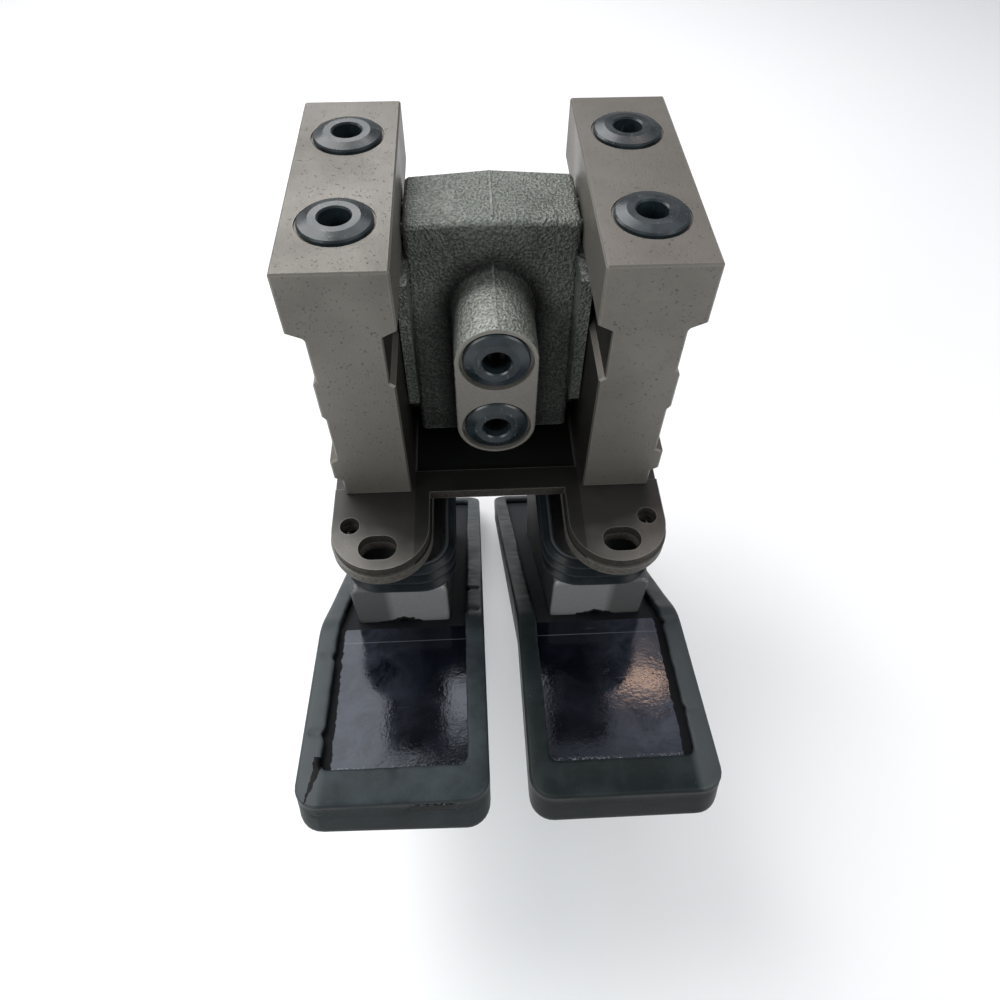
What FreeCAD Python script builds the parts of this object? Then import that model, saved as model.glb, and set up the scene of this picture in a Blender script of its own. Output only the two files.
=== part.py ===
import FreeCAD, Part
import math
import os
import Sketcher

# Twin travel-pedal pilot valve: two valve blocks on one flange with a supply casting
# between them, and two rocking pedals below, each on a cam, a shaft and a rubber bellows.
# Frame: origin at the centre of the flange's seat face, +Z towards the block ports,
# -Y towards the pedal heels and the supply ports, +X to the right-hand pedal.

doc = FreeCAD.newDocument("TwinPedalValve")
sheet = doc.addObject("Spreadsheet::Sheet", "Sizes")
vector = FreeCAD.Vector


class Size:
    """A length or angle that knows both its number and its spreadsheet expression."""

    def __init__(self, value, text):
        self.value = float(value)
        self.text = text

    def __add__(self, other):
        other = as_size(other)
        return Size(self.value + other.value, f"({self.text} + {other.text})")

    def __radd__(self, other):
        return as_size(other) + self

    def __sub__(self, other):
        other = as_size(other)
        return Size(self.value - other.value, f"({self.text} - {other.text})")

    def __rsub__(self, other):
        return as_size(other) - self

    def __mul__(self, other):
        other = as_size(other)
        return Size(self.value * other.value, f"({self.text} * {other.text})")

    def __rmul__(self, other):
        return as_size(other) * self

    def __truediv__(self, other):
        other = as_size(other)
        return Size(self.value / other.value, f"({self.text} / {other.text})")

    def __neg__(self):
        return Size(-self.value, f"(0 - {self.text})")


def as_size(number):
    return number if isinstance(number, Size) else Size(number, f"({float(number)})")


def cosine(angle):
    return Size(math.cos(math.radians(angle.value)), f"cos({angle.text} * 1 deg)")


def sine(angle):
    return Size(math.sin(math.radians(angle.value)), f"sin({angle.text} * 1 deg)")


SIZES = {
    # valve blocks
    "block_depth": 113.0, "block_top": 116.5, "head_inner": 34.8, "head_outer": 73.6,
    "neck_inner": 38.1, "neck_outer": 67.3, "head_bottom": 91.9, "neck_start": 89.0,
    "recess_face": 40.2, "recess_bottom": 67.0, "recess_lip": 65.5, "edge_break": 0.7,
    "step_radius": 2.2, "pad_slope": 1.8, "upper_pad_z": 58.5, "upper_pad_tall": 17.0,
    "upper_pad_reach": 1.4, "lower_pad_z": 17.0, "lower_pad_tall": 11.0, "lower_pad_reach": 3.2,
    # ports and transit plugs
    "port_x": 54.2, "port_y": 28.5, "port_radius": 7.7, "port_deep": 17.0,
    "spotface_radius": 14.2, "spotface_deep": 0.6, "plug_head_radius": 13.25,
    "plug_rim": 1.3, "plug_proud": 3.0, "plug_stem_radius": 7.5, "plug_stem_long": 11.0,
    "plug_hole_radius": 5.6, "plug_hole_deep": 10.0, "plug_lead": 0.8, "plug_corner": 0.6,
    "plug_bevel": 4.2,
    # supply casting
    "casting_half": 34.0, "casting_top": 103.5, "casting_front": 9.5, "casting_foot": 19.5,
    "casting_back": 27.0, "casting_bottom": 1.0, "casting_draft": 1.5, "casting_edge": 2.5,
    "rib_wide": 4.5, "rib_front": 26.5, "rib_top": 88.0, "rib_bottom": 25.5, "rib_back": 12.0,
    # supply boss
    "boss_radius": 16.4, "boss_face": 46.5, "upper_port_z": 66.8, "lower_port_z": 30.4, "boss_rim": 0.9,
    "boss_recess_radius": 14.6, "boss_recess_deep": 2.2, "boss_fillet": 4.0, "gallery_radius": 3.6,
    "gallery_y": 9.0, "feed_radius": 4.5, "seam_half": 0.45, "seam_proud": 0.5,
    # flange and cover plates
    "flange_thick": 5.0, "cover_thick": 5.0, "flange_half_x": 68.0, "flange_half_y": 56.5,
    "pocket_half_x": 36.5, "pocket_half_y": 44.5, "pocket_deep": 3.0,
    "ear_x": 51.2, "ear_y": 75.0, "ear_radius": 21.0, "cover_margin": 1.0,
    "slot_x": 52.0, "slot_y": 85.0, "slot_long": 16.5, "slot_wide": 12.0,
    "dowel_x": 64.5, "dowel_y": 73.5, "dowel_radius": 4.25,
    # bores for guides, springs and spools
    "spool_x": 52.0, "guide_bore": 10.0, "guide_long": 24.0, "chamber_top": 62.0,
    "spool_bore": 5.0, "running_gap": 0.03, "rod_radius": 5.0, "rod_hole": 6.5,
    # push rods, seats and springs
    "rod_gap": 0.4, "rod_top": 31.0, "seat_radius": 8.6, "seat_thick": 4.0, "spigot_radius": 3.4,
    "spigot_long": 4.0, "spool_low": 50.0, "spool_high": 96.0, "spool_collar": 6.0,
    "collar_thick": 2.5, "waist_radius": 3.6, "waist_low": 71.0, "waist_high": 82.0,
    "return_coil": 8.2, "return_wire": 0.8, "return_turns": 6.0,
    "balance_coil": 4.9, "balance_wire": 0.5, "balance_turns": 5.0,
    # seals
    "seal_radius": 7.5, "seal_tall": 4.5, "ring_wire": 1.0, "groove_wide": 2.4, "guide_ring_z": 12.0,
    "face_ring_radius": 7.2, "face_seat_radius": 8.3, "face_groove_deep": 1.85,
    "face_ring_wire": 0.85,
    # cam and shaft
    "pivot_z": 20.0, "cam_x": 50.0, "cam_wide": 18.0, "cam_top": 15.5, "cam_arm": 31.0,
    "cam_hub": 8.0, "cam_foot": 22.0, "cam_side": 19.5, "shaft_radius": 4.0, "bush_wall": 1.5,
    "lug_radius": 8.0, "lug_thick": 5.0, "lug_gap": 1.0, "window_y": 38.0,
    # bellows
    "bellows_x": 44.5, "bellows_half_x": 25.0, "bellows_half_y": 91.5, "bellows_corner": 16.0,
    "bellows_wall": 3.6, "fold_depth": 2.4, "bellows_low": 31.0,
    # pedal bracket
    "pedal_x": 46.5, "bracket_wide": 45.0, "bracket_front": 88.0, "bracket_back": 80.0,
    "bracket_wall": 5.0, "drain_radius": 2.5, "bracket_tail": 9.0, "bracket_heel": 20.0, "bracket_edge": 4.0,
    "bracket_corner": 2.0,
    # pedal plate and pad
    "pad_wide": 77.0, "heel_y": 181.0, "heel_z": 43.0, "heel_slope": 6.6, "heel_long": 89.0,
    "toe_slope": 39.0, "toe_long": 232.0, "pad_thick": 18.0, "lip_thick": 4.0, "lip_side": 9.0,
    "lip_end": 16.0, "plate_thick": 5.0, "plate_inset": 4.0, "pad_corner": 10.0, "fit_gap": 0.15,
    # fasteners
    "tie_y_low": -3.0, "tie_y_high": 11.0, "tie_z_low": 12.0, "tie_z_high": 96.0, "tie_radius": 3.0,
    "hole_gap": 0.4, "tie_head_radius": 5.0, "tie_head_tall": 6.0, "nut_flats": 10.0,
    "nut_tall": 5.2, "washer_radius": 6.0, "washer_thick": 1.6, "counterbore_deep": 10.5,
    "screw_radius": 2.5, "screw_head_radius": 4.25, "screw_head_tall": 5.0, "screw_long": 28.0,
    "screw_x_inner": 43.5, "screw_x_outer": 61.0, "screw_y": 47.5, "key_flats": 4.0,
    "cam_bolt_y": 17.0, "cam_bolt_radius": 3.0, "cam_bolt_long": 15.0, "cam_bolt_head": 5.0,
    "cam_bolt_head_tall": 6.0, "plate_bolt_near": 28.0, "plate_bolt_far": 118.0,
    "plate_bolt_side": 9.5, "plate_bolt_radius": 4.0, "plate_bolt_head": 7.5,
}

for row, (alias, number) in enumerate(SIZES.items(), start=1):
    sheet.set(f"A{row}", alias)
    sheet.set(f"B{row}", str(number))
    sheet.setAlias(f"B{row}", alias)
doc.recompute()


def size(alias):
    return Size(SIZES[alias], f"Sizes.{alias}")


# ---- document helpers -------------------------------------------------------------------

parts = []


def bind(thing, **properties):
    """Set properties from sizes, by expression; double underscores stand for dots."""
    for name, amount in properties.items():
        thing.setExpression(name.replace("__", "."), as_size(amount).text)
    return thing


def place(thing, x=0, y=0, z=0):
    return bind(thing, Placement__Base__x=x, Placement__Base__y=y, Placement__Base__z=z)


def turn(thing, axis, degrees):
    thing.Placement = FreeCAD.Placement(thing.Placement.Base, FreeCAD.Rotation(axis, degrees))
    return thing


def turn_by(thing, axis, angle):
    """Turn a feature about an axis by an angle held in the sheet."""
    turn(thing, axis, angle.value)
    return bind(thing, Placement__Rotation__Angle=angle)


def box(x, y, z, wide, deep, tall):
    """A block from its lowest corner."""
    return place(bind(doc.addObject("Part::Box", "Block"), Length=wide, Width=deep, Height=tall), x, y, z)


def centred_box(x, y, z, wide, deep, tall):
    """A block centred on x and y, standing on z."""
    wide = as_size(wide)
    deep = as_size(deep)
    return box(x - wide / 2, y - deep / 2, z, wide, deep, tall)


ALONG = {"x": (vector(0, 1, 0), 90), "-x": (vector(0, 1, 0), -90), "y": (vector(1, 0, 0), -90),
         "-y": (vector(1, 0, 0), 90), "z": (vector(0, 0, 1), 0), "-z": (vector(1, 0, 0), 180)}


def rod(radius, length, x=0, y=0, z=0, along="z"):
    """A round bar that starts at a point and runs along a direction."""
    bar = bind(doc.addObject("Part::Cylinder", "Bar"), Radius=radius, Height=length)
    turn(bar, *ALONG[along])
    return place(bar, x, y, z)


def ball(radius, x, y, z):
    return place(bind(doc.addObject("Part::Sphere", "Dome"), Radius=radius), x, y, z)


def ring(radius, wire, x=0, y=0, z=0, along="z"):
    shape = bind(doc.addObject("Part::Torus", "Ring"), Radius1=radius, Radius2=wire)
    turn(shape, *ALONG[along])
    return place(shape, x, y, z)


def hexagon(flats, length, x=0, y=0, z=0, along="z"):
    shape = doc.addObject("Part::Prism", "Hexagon")
    bind(shape, Circumradius=as_size(flats) / math.sqrt(3), Height=length)
    turn(shape, *ALONG[along])
    return place(shape, x, y, z)


def fuse(*shapes):
    joined = doc.addObject("Part::MultiFuse", "Joined")
    joined.Shapes = list(shapes)
    joined.Refine = True
    return joined


def cut(base, *tools):
    carved = doc.addObject("Part::Cut", "Carved")
    carved.Base = base
    carved.Tool = tools[0] if len(tools) == 1 else group(*tools)
    carved.Refine = True
    return carved


def group(*shapes):
    bundle = doc.addObject("Part::Compound", "Group")
    bundle.Links = list(shapes)
    return bundle


def round_edges(base, radius, wanted):
    """Round the edges for which wanted(edge) is true."""
    doc.recompute()
    shape = base.Shape
    chosen = [i for i, edge in enumerate(shape.Edges, start=1) if wanted(edge)]
    rounded = doc.addObject("Part::Fillet", "Rounded")
    rounded.Base = base
    rounded.Edges = [(i, radius.value, radius.value) for i in chosen]
    return rounded


def bevel_edges(base, width, wanted):
    doc.recompute()
    chosen = [i for i, edge in enumerate(base.Shape.Edges, start=1) if wanted(edge)]
    bevelled = doc.addObject("Part::Chamfer", "Bevelled")
    bevelled.Base = base
    bevelled.Edges = [(i, width.value, width.value) for i in chosen]
    return bevelled


def runs_along(edge, axis):
    """True for a straight edge parallel to the axis."""
    if edge.Curve.TypeId != "Part::GeomLine":
        return False
    return abs(abs(edge.tangentAt(edge.FirstParameter).dot(axis)) - 1) < 1e-6


def sketch_in(body, plane, points, name="Outline"):
    """A closed outline of straight lines on one of the body's origin planes, fully bound to the sheet."""
    sketch = body.newObject("Sketcher::SketchObject", name)
    support = [item for item in body.Origin.OriginFeatures if item.Role == plane][0]
    sketch.AttachmentSupport = [(support, "")]
    sketch.MapMode = "FlatFace"
    corners = [(as_size(across), as_size(up)) for across, up in points]
    spots = [vector(across.value, up.value, 0) for across, up in corners]
    for i, spot in enumerate(spots):
        sketch.addGeometry(Part.LineSegment(spot, spots[(i + 1) % len(spots)]))
    for i in range(len(spots)):
        sketch.addConstraint(Sketcher.Constraint("Coincident", i, 2, (i + 1) % len(spots), 1))
    for i, (across, up) in enumerate(corners):
        for kind, amount in (("DistanceX", across), ("DistanceY", up)):
            number = sketch.addConstraint(Sketcher.Constraint(kind, -1, 1, i, 1, amount.value))
            sketch.setExpression(f"Constraints[{number}]", amount.text)
    return sketch


def padded(plane, points, thick, x=0, y=0, z=0):
    """A body that is one outline, padded to both sides of its plane, then moved."""
    body = doc.addObject("PartDesign::Body", "Padded")
    pad = body.newObject("PartDesign::Pad", "Pad")
    pad.Profile = sketch_in(body, plane, points)
    pad.Midplane = True
    bind(pad, Length=thick)
    return place(body, x, y, z)


def turned(points, x=0, y=0, z=0, along="z"):
    """A body of revolution: the outline's first number is the radius, the second the height."""
    body = doc.addObject("PartDesign::Body", "Turned")
    spin = body.newObject("PartDesign::Revolution", "Spin")
    sketch = sketch_in(body, "XZ_Plane", points)
    spin.Profile = sketch
    spin.ReferenceAxis = (sketch, ["V_Axis"])
    spin.Angle = 360
    turn(body, *ALONG[along])
    return place(body, x, y, z)


def keep(thing, label):
    """Name a finished sub-part; its label is its node name."""
    thing.Label = label
    parts.append(thing)
    return thing


SIDES = (("left", -1), ("right", 1))
ENDS = (("front", -1), ("rear", 1))


# ---- valve blocks -----------------------------------------------------------------------

def side_pad(side, middle, tall, proud):
    """A low machined pad on the outer flank of a block's neck, as outline points going down."""
    reach = size("neck_outer") + proud
    slope = size("pad_slope")
    return [(side * size("neck_outer"), middle + tall / 2 + slope), (side * reach, middle + tall / 2),
            (side * reach, middle - tall / 2), (side * size("neck_outer"), middle - tall / 2 - slope)]


def block_outline(side):
    """Front view of a block: a wide head over a narrower neck, with a recess on the inner flank."""
    lip = size("recess_lip")
    return [(side * size("head_inner"), size("block_top")), (side * size("head_outer"), size("block_top")),
            (side * size("head_outer"), size("head_bottom")),
            (side * size("neck_outer"), size("neck_start")),
            *side_pad(side, size("upper_pad_z"), size("upper_pad_tall"), size("upper_pad_reach")),
            *side_pad(side, size("lower_pad_z"), size("lower_pad_tall"), size("lower_pad_reach")),
            (side * size("neck_outer"), 0), (side * size("neck_inner"), 0),
            (side * size("neck_inner"), lip), (side * size("recess_face"), size("recess_bottom")),
            (side * size("recess_face"), size("neck_start")),
            (side * size("head_inner"), size("head_bottom"))]


def tie_places():
    return [(y, z) for y in (size("tie_y_low"), size("tie_y_high"))
            for z in (size("tie_z_low"), size("tie_z_high"))]


def screw_places(side):
    return [(side * x, end * size("screw_y")) for x in (size("screw_x_inner"), size("screw_x_outer"))
            for _, end in ENDS]


def block_bores(side):
    """Everything drilled in a block: ports, spool bores, guide bores, galleries and bolt holes."""
    gap = size("hole_gap")
    half_depth = size("block_depth") / 2
    tools = []
    for _, end in ENDS:
        port = (side * size("port_x"), end * size("port_y"))
        bore = (side * size("spool_x"), end * size("port_y"))
        tools.append(rod(size("port_radius"), size("port_deep") + 1, *port,
                         size("block_top") - size("port_deep")))
        tools.append(rod(size("spotface_radius"), size("spotface_deep") + 1, *port,
                         size("block_top") - size("spotface_deep")))
        tools.append(rod(size("spool_bore"), size("block_top") - size("chamber_top") - 10, *bore,
                         size("chamber_top")))
        tools.append(rod(size("guide_bore"), size("chamber_top") + 1, *bore, -1))
    for height in (size("upper_port_z"), size("lower_port_z")):
        tools.append(rod(size("gallery_radius"), half_depth * 2 - 30, side * size("spool_x"),
                         15 - half_depth, height, "y"))
        tools.append(rod(size("gallery_radius"), size("spool_x") - size("neck_inner") + 3,
                         side * size("spool_x"), size("gallery_y"), height, "-x" if side > 0 else "x"))
    for y, z in tie_places():
        tools.append(rod(size("tie_radius") + gap, 60, side * (size("neck_inner") - 10), y, z,
                         "x" if side > 0 else "-x"))
        seat = size("neck_outer") if z.value < 50 else size("head_outer")
        tools.append(rod(size("washer_radius") + gap, 30, side * (seat - size("counterbore_deep")), y, z,
                         "x" if side > 0 else "-x"))
    for x, y in screw_places(side):
        tools.append(rod(size("screw_radius") + 0.05, size("screw_long") - size("flange_thick")
                         - size("cover_thick") + 2, x, y, -1))
    return tools


Y_AXIS = vector(0, 1, 0)
X_AXIS = vector(1, 0, 0)
Z_AXIS = vector(0, 0, 1)


def valve_block(name, side):
    blank = padded("XZ_Plane", block_outline(side), size("block_depth"))
    step_z = size("neck_start").value

    def is_step(edge):
        middle = edge.CenterOfMass
        outside = abs(middle.x) > size("port_x").value
        return runs_along(edge, Y_AXIS) and abs(middle.z - step_z) < 0.1 and outside

    def is_head_corner(edge):
        middle = edge.CenterOfMass
        low = abs(middle.z - size("head_bottom").value) < 0.1
        return runs_along(edge, Y_AXIS) and low

    def is_outer_rim(edge):
        middle = edge.CenterOfMass
        at_end = abs(abs(middle.y) - size("block_depth").value / 2) < 0.01
        at_top = abs(middle.z - size("block_top").value) < 0.01
        return at_end or at_top

    blank = round_edges(blank, size("step_radius"), is_step)
    blank = round_edges(blank, size("edge_break"), is_head_corner)
    blank = bevel_edges(blank, size("edge_break"), is_outer_rim)
    keep(cut(blank, *block_bores(side)), f"{name}_valve_block")


# ---- plugs ------------------------------------------------------------------------------

def plug_outline():
    """Half section of a moulded transit plug: bevelled head, thick rim, open stem."""
    head = size("plug_head_radius")
    rim = size("plug_rim")
    proud = size("plug_proud")
    hole = size("plug_hole_radius")
    stem = size("plug_stem_radius")
    foot = -size("plug_stem_long")
    lead = size("plug_lead")
    corner = size("plug_corner")
    floor = proud - size("plug_hole_deep")
    return [(0, foot), (stem - lead, foot), (stem, foot + lead), (stem, 0), (head, 0), (head, rim),
            (head - corner, rim + corner), (head - size("plug_bevel"), proud), (hole + corner, proud),
            (hole, proud - corner), (hole, floor), (0, floor)]


def port_plugs(name, side):
    low = size("block_top") - size("spotface_deep")
    plugs = [turned(plug_outline(), side * size("port_x"), end * size("port_y"), low) for _, end in ENDS]
    keep(group(*plugs), f"{name}_port_plugs")


def supply_plugs():
    y = size("boss_recess_deep") - size("boss_face")
    plugs = [turned(plug_outline(), 0, y, z, "-y") for z in (size("upper_port_z"), size("lower_port_z"))]
    keep(group(*plugs), "supply_port_plugs")


# ---- supply casting ---------------------------------------------------------------------

def half_casting(side):
    """Half the casting, from its parting plane to one block, with draft away from that plane."""
    draft = size("casting_draft")
    wide = size("casting_half")

    def outline(shrink):
        return [(-size("casting_front"), size("casting_top") - shrink),
                (size("casting_back") - shrink, size("casting_top") - shrink),
                (size("casting_back") - shrink, size("casting_bottom")),
                (-size("casting_foot"), size("casting_bottom"))]

    body = doc.addObject("PartDesign::Body", "HalfCasting")
    loft = body.newObject("PartDesign::AdditiveLoft", "Draft")
    middle = sketch_in(body, "YZ_Plane", outline(as_size(0)), "Middle")
    flank = sketch_in(body, "YZ_Plane", outline(draft), "Flank")
    bind(flank, AttachmentOffset__Base__z=side * wide)
    loft.Profile = middle
    loft.Sections = [flank]
    loft.Ruled = True
    return body


def rib(side):
    """The thin upright rib between the casting and a block."""
    wide = size("rib_wide")
    outer = size("neck_inner") - 0.6
    x = outer - wide if side > 0 else -outer
    return box(x, -size("rib_front"), size("rib_bottom"), wide, size("rib_front") + size("rib_back"),
               size("rib_top") - size("rib_bottom"))


def flank_pad(side):
    """The machined pad that meets the block's inner flank, down its neck."""
    inner = size("casting_half") - 2
    face = size("neck_inner")
    x = inner if side > 0 else -face
    return box(x, size("casting_edge") - size("casting_front"), size("casting_bottom") + 2, face - inner,
               size("casting_back") + size("casting_front") - 2 * size("casting_edge") - 2,
               size("recess_lip") - size("casting_bottom") - 4)


def supply_boss():
    """The upright boss on the casting's front that carries the two supply ports."""
    radius = size("boss_radius")
    long = size("boss_face") - 2
    high = size("upper_port_z")
    low = size("lower_port_z")
    web = box(-radius, -size("boss_face"), low, radius * 2, long, high - low)
    return fuse(rod(radius, long, 0, -size("boss_face"), high, "y"),
                rod(radius, long, 0, -size("boss_face"), low, "y"), web)


def parting_seam():
    """The low ridge that the mould's joint leaves over the casting's top and along the boss's crest."""
    half = size("seam_half")
    proud = size("seam_proud")
    top = size("casting_top") + proud
    edge = size("casting_edge")
    crest = size("upper_port_z") + size("boss_radius") + proud
    over_top = box(-half, edge - size("casting_front"), top - 2, half * 2,
                   size("casting_front") + size("casting_back") - edge * 2, 2)
    on_boss = box(-half, 1 - size("boss_face"), crest - 2, half * 2,
                  size("boss_face") - size("casting_front"), 2)
    return [over_top, on_boss]


def supply_bores():
    """Ports, feeds and cross galleries, the ring seats on both flanks and the tie bolt holes."""
    tools = []
    face = size("boss_face")
    across = size("neck_inner") * 2 + 10
    for z in (size("upper_port_z"), size("lower_port_z")):
        tools.append(rod(size("boss_recess_radius"), size("boss_recess_deep") + 1, 0, -face - 1, z, "y"))
        tools.append(rod(size("port_radius"), size("port_deep") + 5, 0, -face - 1, z, "y"))
        feed_long = face + size("gallery_y") + size("feed_radius") + 1
        tools.append(rod(size("feed_radius"), feed_long, 0, -face, z, "y"))
        tools.append(rod(size("gallery_radius"), across, -across / 2, size("gallery_y"), z, "x"))
    for _, side in SIDES:
        seat = side * (size("neck_inner") - size("face_groove_deep"))
        tools.append(rod(size("face_seat_radius"), 10, seat, size("gallery_y"), size("lower_port_z"),
                         "x" if side > 0 else "-x"))
    for y, z in tie_places():
        tools.append(rod(size("tie_radius") + size("hole_gap"), across, -across / 2, y, z, "x"))
    return tools


def on_boss_outline(edge):
    """True for an edge whose middle lies on the boss's obround outline."""
    point = edge.valueAt((edge.FirstParameter + edge.LastParameter) / 2)
    rise = max(point.z - size("upper_port_z").value, size("lower_port_z").value - point.z, 0)
    return abs(math.hypot(point.x, rise) - size("boss_radius").value) < 0.05


def centre_manifold():
    blank = fuse(*[half_casting(side) for _, side in SIDES])

    def is_front_or_back(edge):
        middle = edge.CenterOfMass
        high = middle.z > size("casting_bottom").value + 1
        on_parting = edge.BoundBox.XLength < 0.01 and abs(middle.x) < 0.01
        return high and not on_parting

    def is_boss_rim(edge):
        limits = edge.BoundBox
        at_face = abs(limits.YMin + size("boss_face").value) < 0.01 and limits.YLength < 0.01
        return at_face and on_boss_outline(edge)

    def is_boss_root(edge):
        limits = edge.BoundBox
        by_casting = limits.YMin > -size("casting_foot").value - 1 and limits.YMax < 0
        return by_casting and on_boss_outline(edge)

    blank = round_edges(blank, size("casting_edge"), is_front_or_back)
    boss = round_edges(supply_boss(), size("boss_rim"), is_boss_rim)
    blank = round_edges(fuse(blank, boss), size("boss_fillet"), is_boss_root)
    flanks = [rib(side) for _, side in SIDES] + [flank_pad(side) for _, side in SIDES]
    blank = fuse(blank, *flanks, *parting_seam())
    keep(cut(blank, *supply_bores()), "centre_manifold")


def face_rings():
    """Gallery seals in counterbores on the casting's two machined flanks."""
    rings = []
    for _, side in SIDES:
        x = side * (size("neck_inner") - size("ring_wire") + 0.1)
        rings.append(ring(size("face_ring_radius"), size("face_ring_wire"), x, size("gallery_y"),
                          size("lower_port_z"), "x"))
    keep(group(*rings), "gallery_o_rings")


# ---- flange and cover plates ------------------------------------------------------------

def ear_shape(side, end, radius, low, thick, reach):
    """A round mounting ear with the neck that joins it to the plate."""
    x = side * size("ear_x")
    disc = rod(radius, thick, x, end * size("ear_y"), low)
    start = end * reach if end > 0 else -size("ear_y")
    neck = box(x - radius, start, low, radius * 2, size("ear_y") - reach, thick)
    return fuse(disc, neck)


def mount_holes(side):
    """The bolt slots and the plain holes through the ears of one side."""
    tools = []
    low = -size("flange_thick") - size("cover_thick") - 1
    tall = size("flange_thick") + size("cover_thick") + 2
    slot_radius = size("slot_wide") / 2
    shift = size("slot_long") / 2 - slot_radius
    for _, end in ENDS:
        y = end * size("slot_y")
        ends = [rod(slot_radius, tall, side * size("slot_x") + way * shift, y, low) for way in (-1, 1)]
        bridge = centred_box(side * size("slot_x"), y, low, shift * 2, size("slot_wide"), tall)
        tools.append(fuse(*ends, bridge))
        tools.append(rod(size("dowel_radius"), tall, side * size("dowel_x"), end * size("dowel_y"), low))
    return tools


def stack_holes(side):
    """Clearance holes for the push rods and the cover screws of one side."""
    low = -size("flange_thick") - size("cover_thick") - 1
    tall = size("flange_thick") + size("cover_thick") + 2
    tools = [rod(size("rod_hole"), tall, side * size("spool_x"), end * size("port_y"), low)
             for _, end in ENDS]
    tools += [rod(size("screw_radius") + size("hole_gap"), tall, x, y, low) for x, y in screw_places(side)]
    return tools


def flange_plate():
    thick = size("flange_thick")
    bar = centred_box(0, 0, -thick, size("flange_half_x") * 2, size("flange_half_y") * 2, thick)
    ears = [ear_shape(side, end, size("ear_radius"), -thick, thick, size("flange_half_y") - 3)
            for _, side in SIDES for _, end in ENDS]
    blank = fuse(bar, *ears)
    tools = [tool for _, side in SIDES for tool in mount_holes(side) + stack_holes(side)]
    pocket = centred_box(0, 0, -size("pocket_deep"), size("pocket_half_x") * 2, size("pocket_half_y") * 2,
                         size("pocket_deep") + 1)
    keep(cut(blank, pocket, *tools), "flange_plate")


def cover_plate(name, side):
    """The plate under the flange: it holds the guides in, carries the cam lugs and takes the bellows."""
    thick = size("cover_thick")
    low = -size("flange_thick") - thick
    radius = size("ear_radius") + size("cover_margin")
    slab = box(side * size("ear_x") - radius, -size("ear_y"), low, radius * 2, size("ear_y") * 2, thick)
    ears = [rod(radius, thick, side * size("ear_x"), end * size("ear_y"), low) for _, end in ENDS]
    lugs = []
    for way in (-1, 1):
        inner = size("cam_wide") / 2 + size("lug_gap")
        x = side * size("cam_x") + way * inner
        if way < 0:
            x = x - size("lug_thick")
        barrel = rod(size("lug_radius"), size("lug_thick"), x, 0, -size("pivot_z"), "x")
        shank = box(x, -size("lug_radius"), -size("pivot_z"), size("lug_thick"), size("lug_radius") * 2,
                    size("pivot_z") + low + thick / 2)
        lugs += [barrel, shank]
    blank = fuse(slab, *ears, *lugs)
    window = centred_box(side * size("cam_x"), 0, low - 1, size("cam_wide") + size("lug_gap"),
                         size("window_y") * 2, thick + 2)
    bore = rod(size("shaft_radius") + size("bush_wall"), 60, side * size("cam_x") - 30, 0,
               -size("pivot_z"), "x")
    keep(cut(blank, window, bore, *mount_holes(side), *stack_holes(side)), f"{name}_cover_plate")


# ---- guides, rods, seats, spools and springs --------------------------------------------

def rod_guide(name, x, y):
    """A sleeve with a seal pocket at its mouth and a ring groove round its middle."""
    outer = size("guide_bore") - size("running_gap")
    blank = rod(outer, size("guide_long"), x, y, 0)
    groove = cut(rod(outer + 1, size("groove_wide"), x, y, size("guide_ring_z")),
                 rod(outer - 2 * size("ring_wire"), size("groove_wide") + 2, x, y, size("guide_ring_z") - 1))
    bore = rod(size("rod_radius") + size("running_gap"), size("guide_long") + 2, x, y, -1)
    pocket = rod(size("seal_radius"), size("seal_tall") + 1.2, x, y, -1)
    keep(cut(blank, bore, pocket, groove), f"{name}_rod_guide")


def rod_seal(x, y):
    return cut(rod(size("seal_radius") - 0.05, size("seal_tall"), x, y, 0.1),
               rod(size("rod_radius") + size("running_gap"), size("seal_tall") + 2, x, y, -1),
               rod(size("rod_radius") + 1.1, 1.6, x, y, -0.5))


def guide_ring(x, y):
    wire = size("ring_wire") - 0.06
    return ring(size("guide_bore") - wire - 0.05, wire, x, y, size("guide_ring_z") + size("groove_wide") / 2)


def push_rod(name, x, y):
    radius = size("rod_radius")
    tip = -size("cam_top") + size("rod_gap")
    shank = rod(radius, size("rod_top") - tip - radius, x, y, tip + radius)
    keep(fuse(shank, ball(radius, x, y, tip + radius)), f"{name}_push_rod")


def spring_seat(name, x, y):
    low = size("rod_top")
    thick = size("seat_thick")
    seat = fuse(rod(size("seat_radius"), thick, x, y, low),
                rod(size("spigot_radius"), thick + size("spigot_long"), x, y, low))
    keep(seat, f"{name}_spring_seat")


def spool(name, x, y):
    radius = size("spool_bore") - size("running_gap")
    low = size("spool_low")
    high = size("spool_high")
    body = fuse(rod(radius, high - low, x, y, low),
                rod(size("spool_collar"), size("collar_thick"), x, y, low))
    waist_long = size("waist_high") - size("waist_low")
    waist = cut(rod(radius + 1, waist_long, x, y, size("waist_low")),
                rod(size("waist_radius"), waist_long + 2, x, y, size("waist_low") - 1))
    drilling = rod(1.6, high - size("waist_low"), x, y, size("waist_low") + 2)
    cross = rod(1.2, radius * 2, x - radius, y, size("waist_low") + 5, "x")
    keep(cut(body, waist, drilling, cross), f"{name}_spool")


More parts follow.
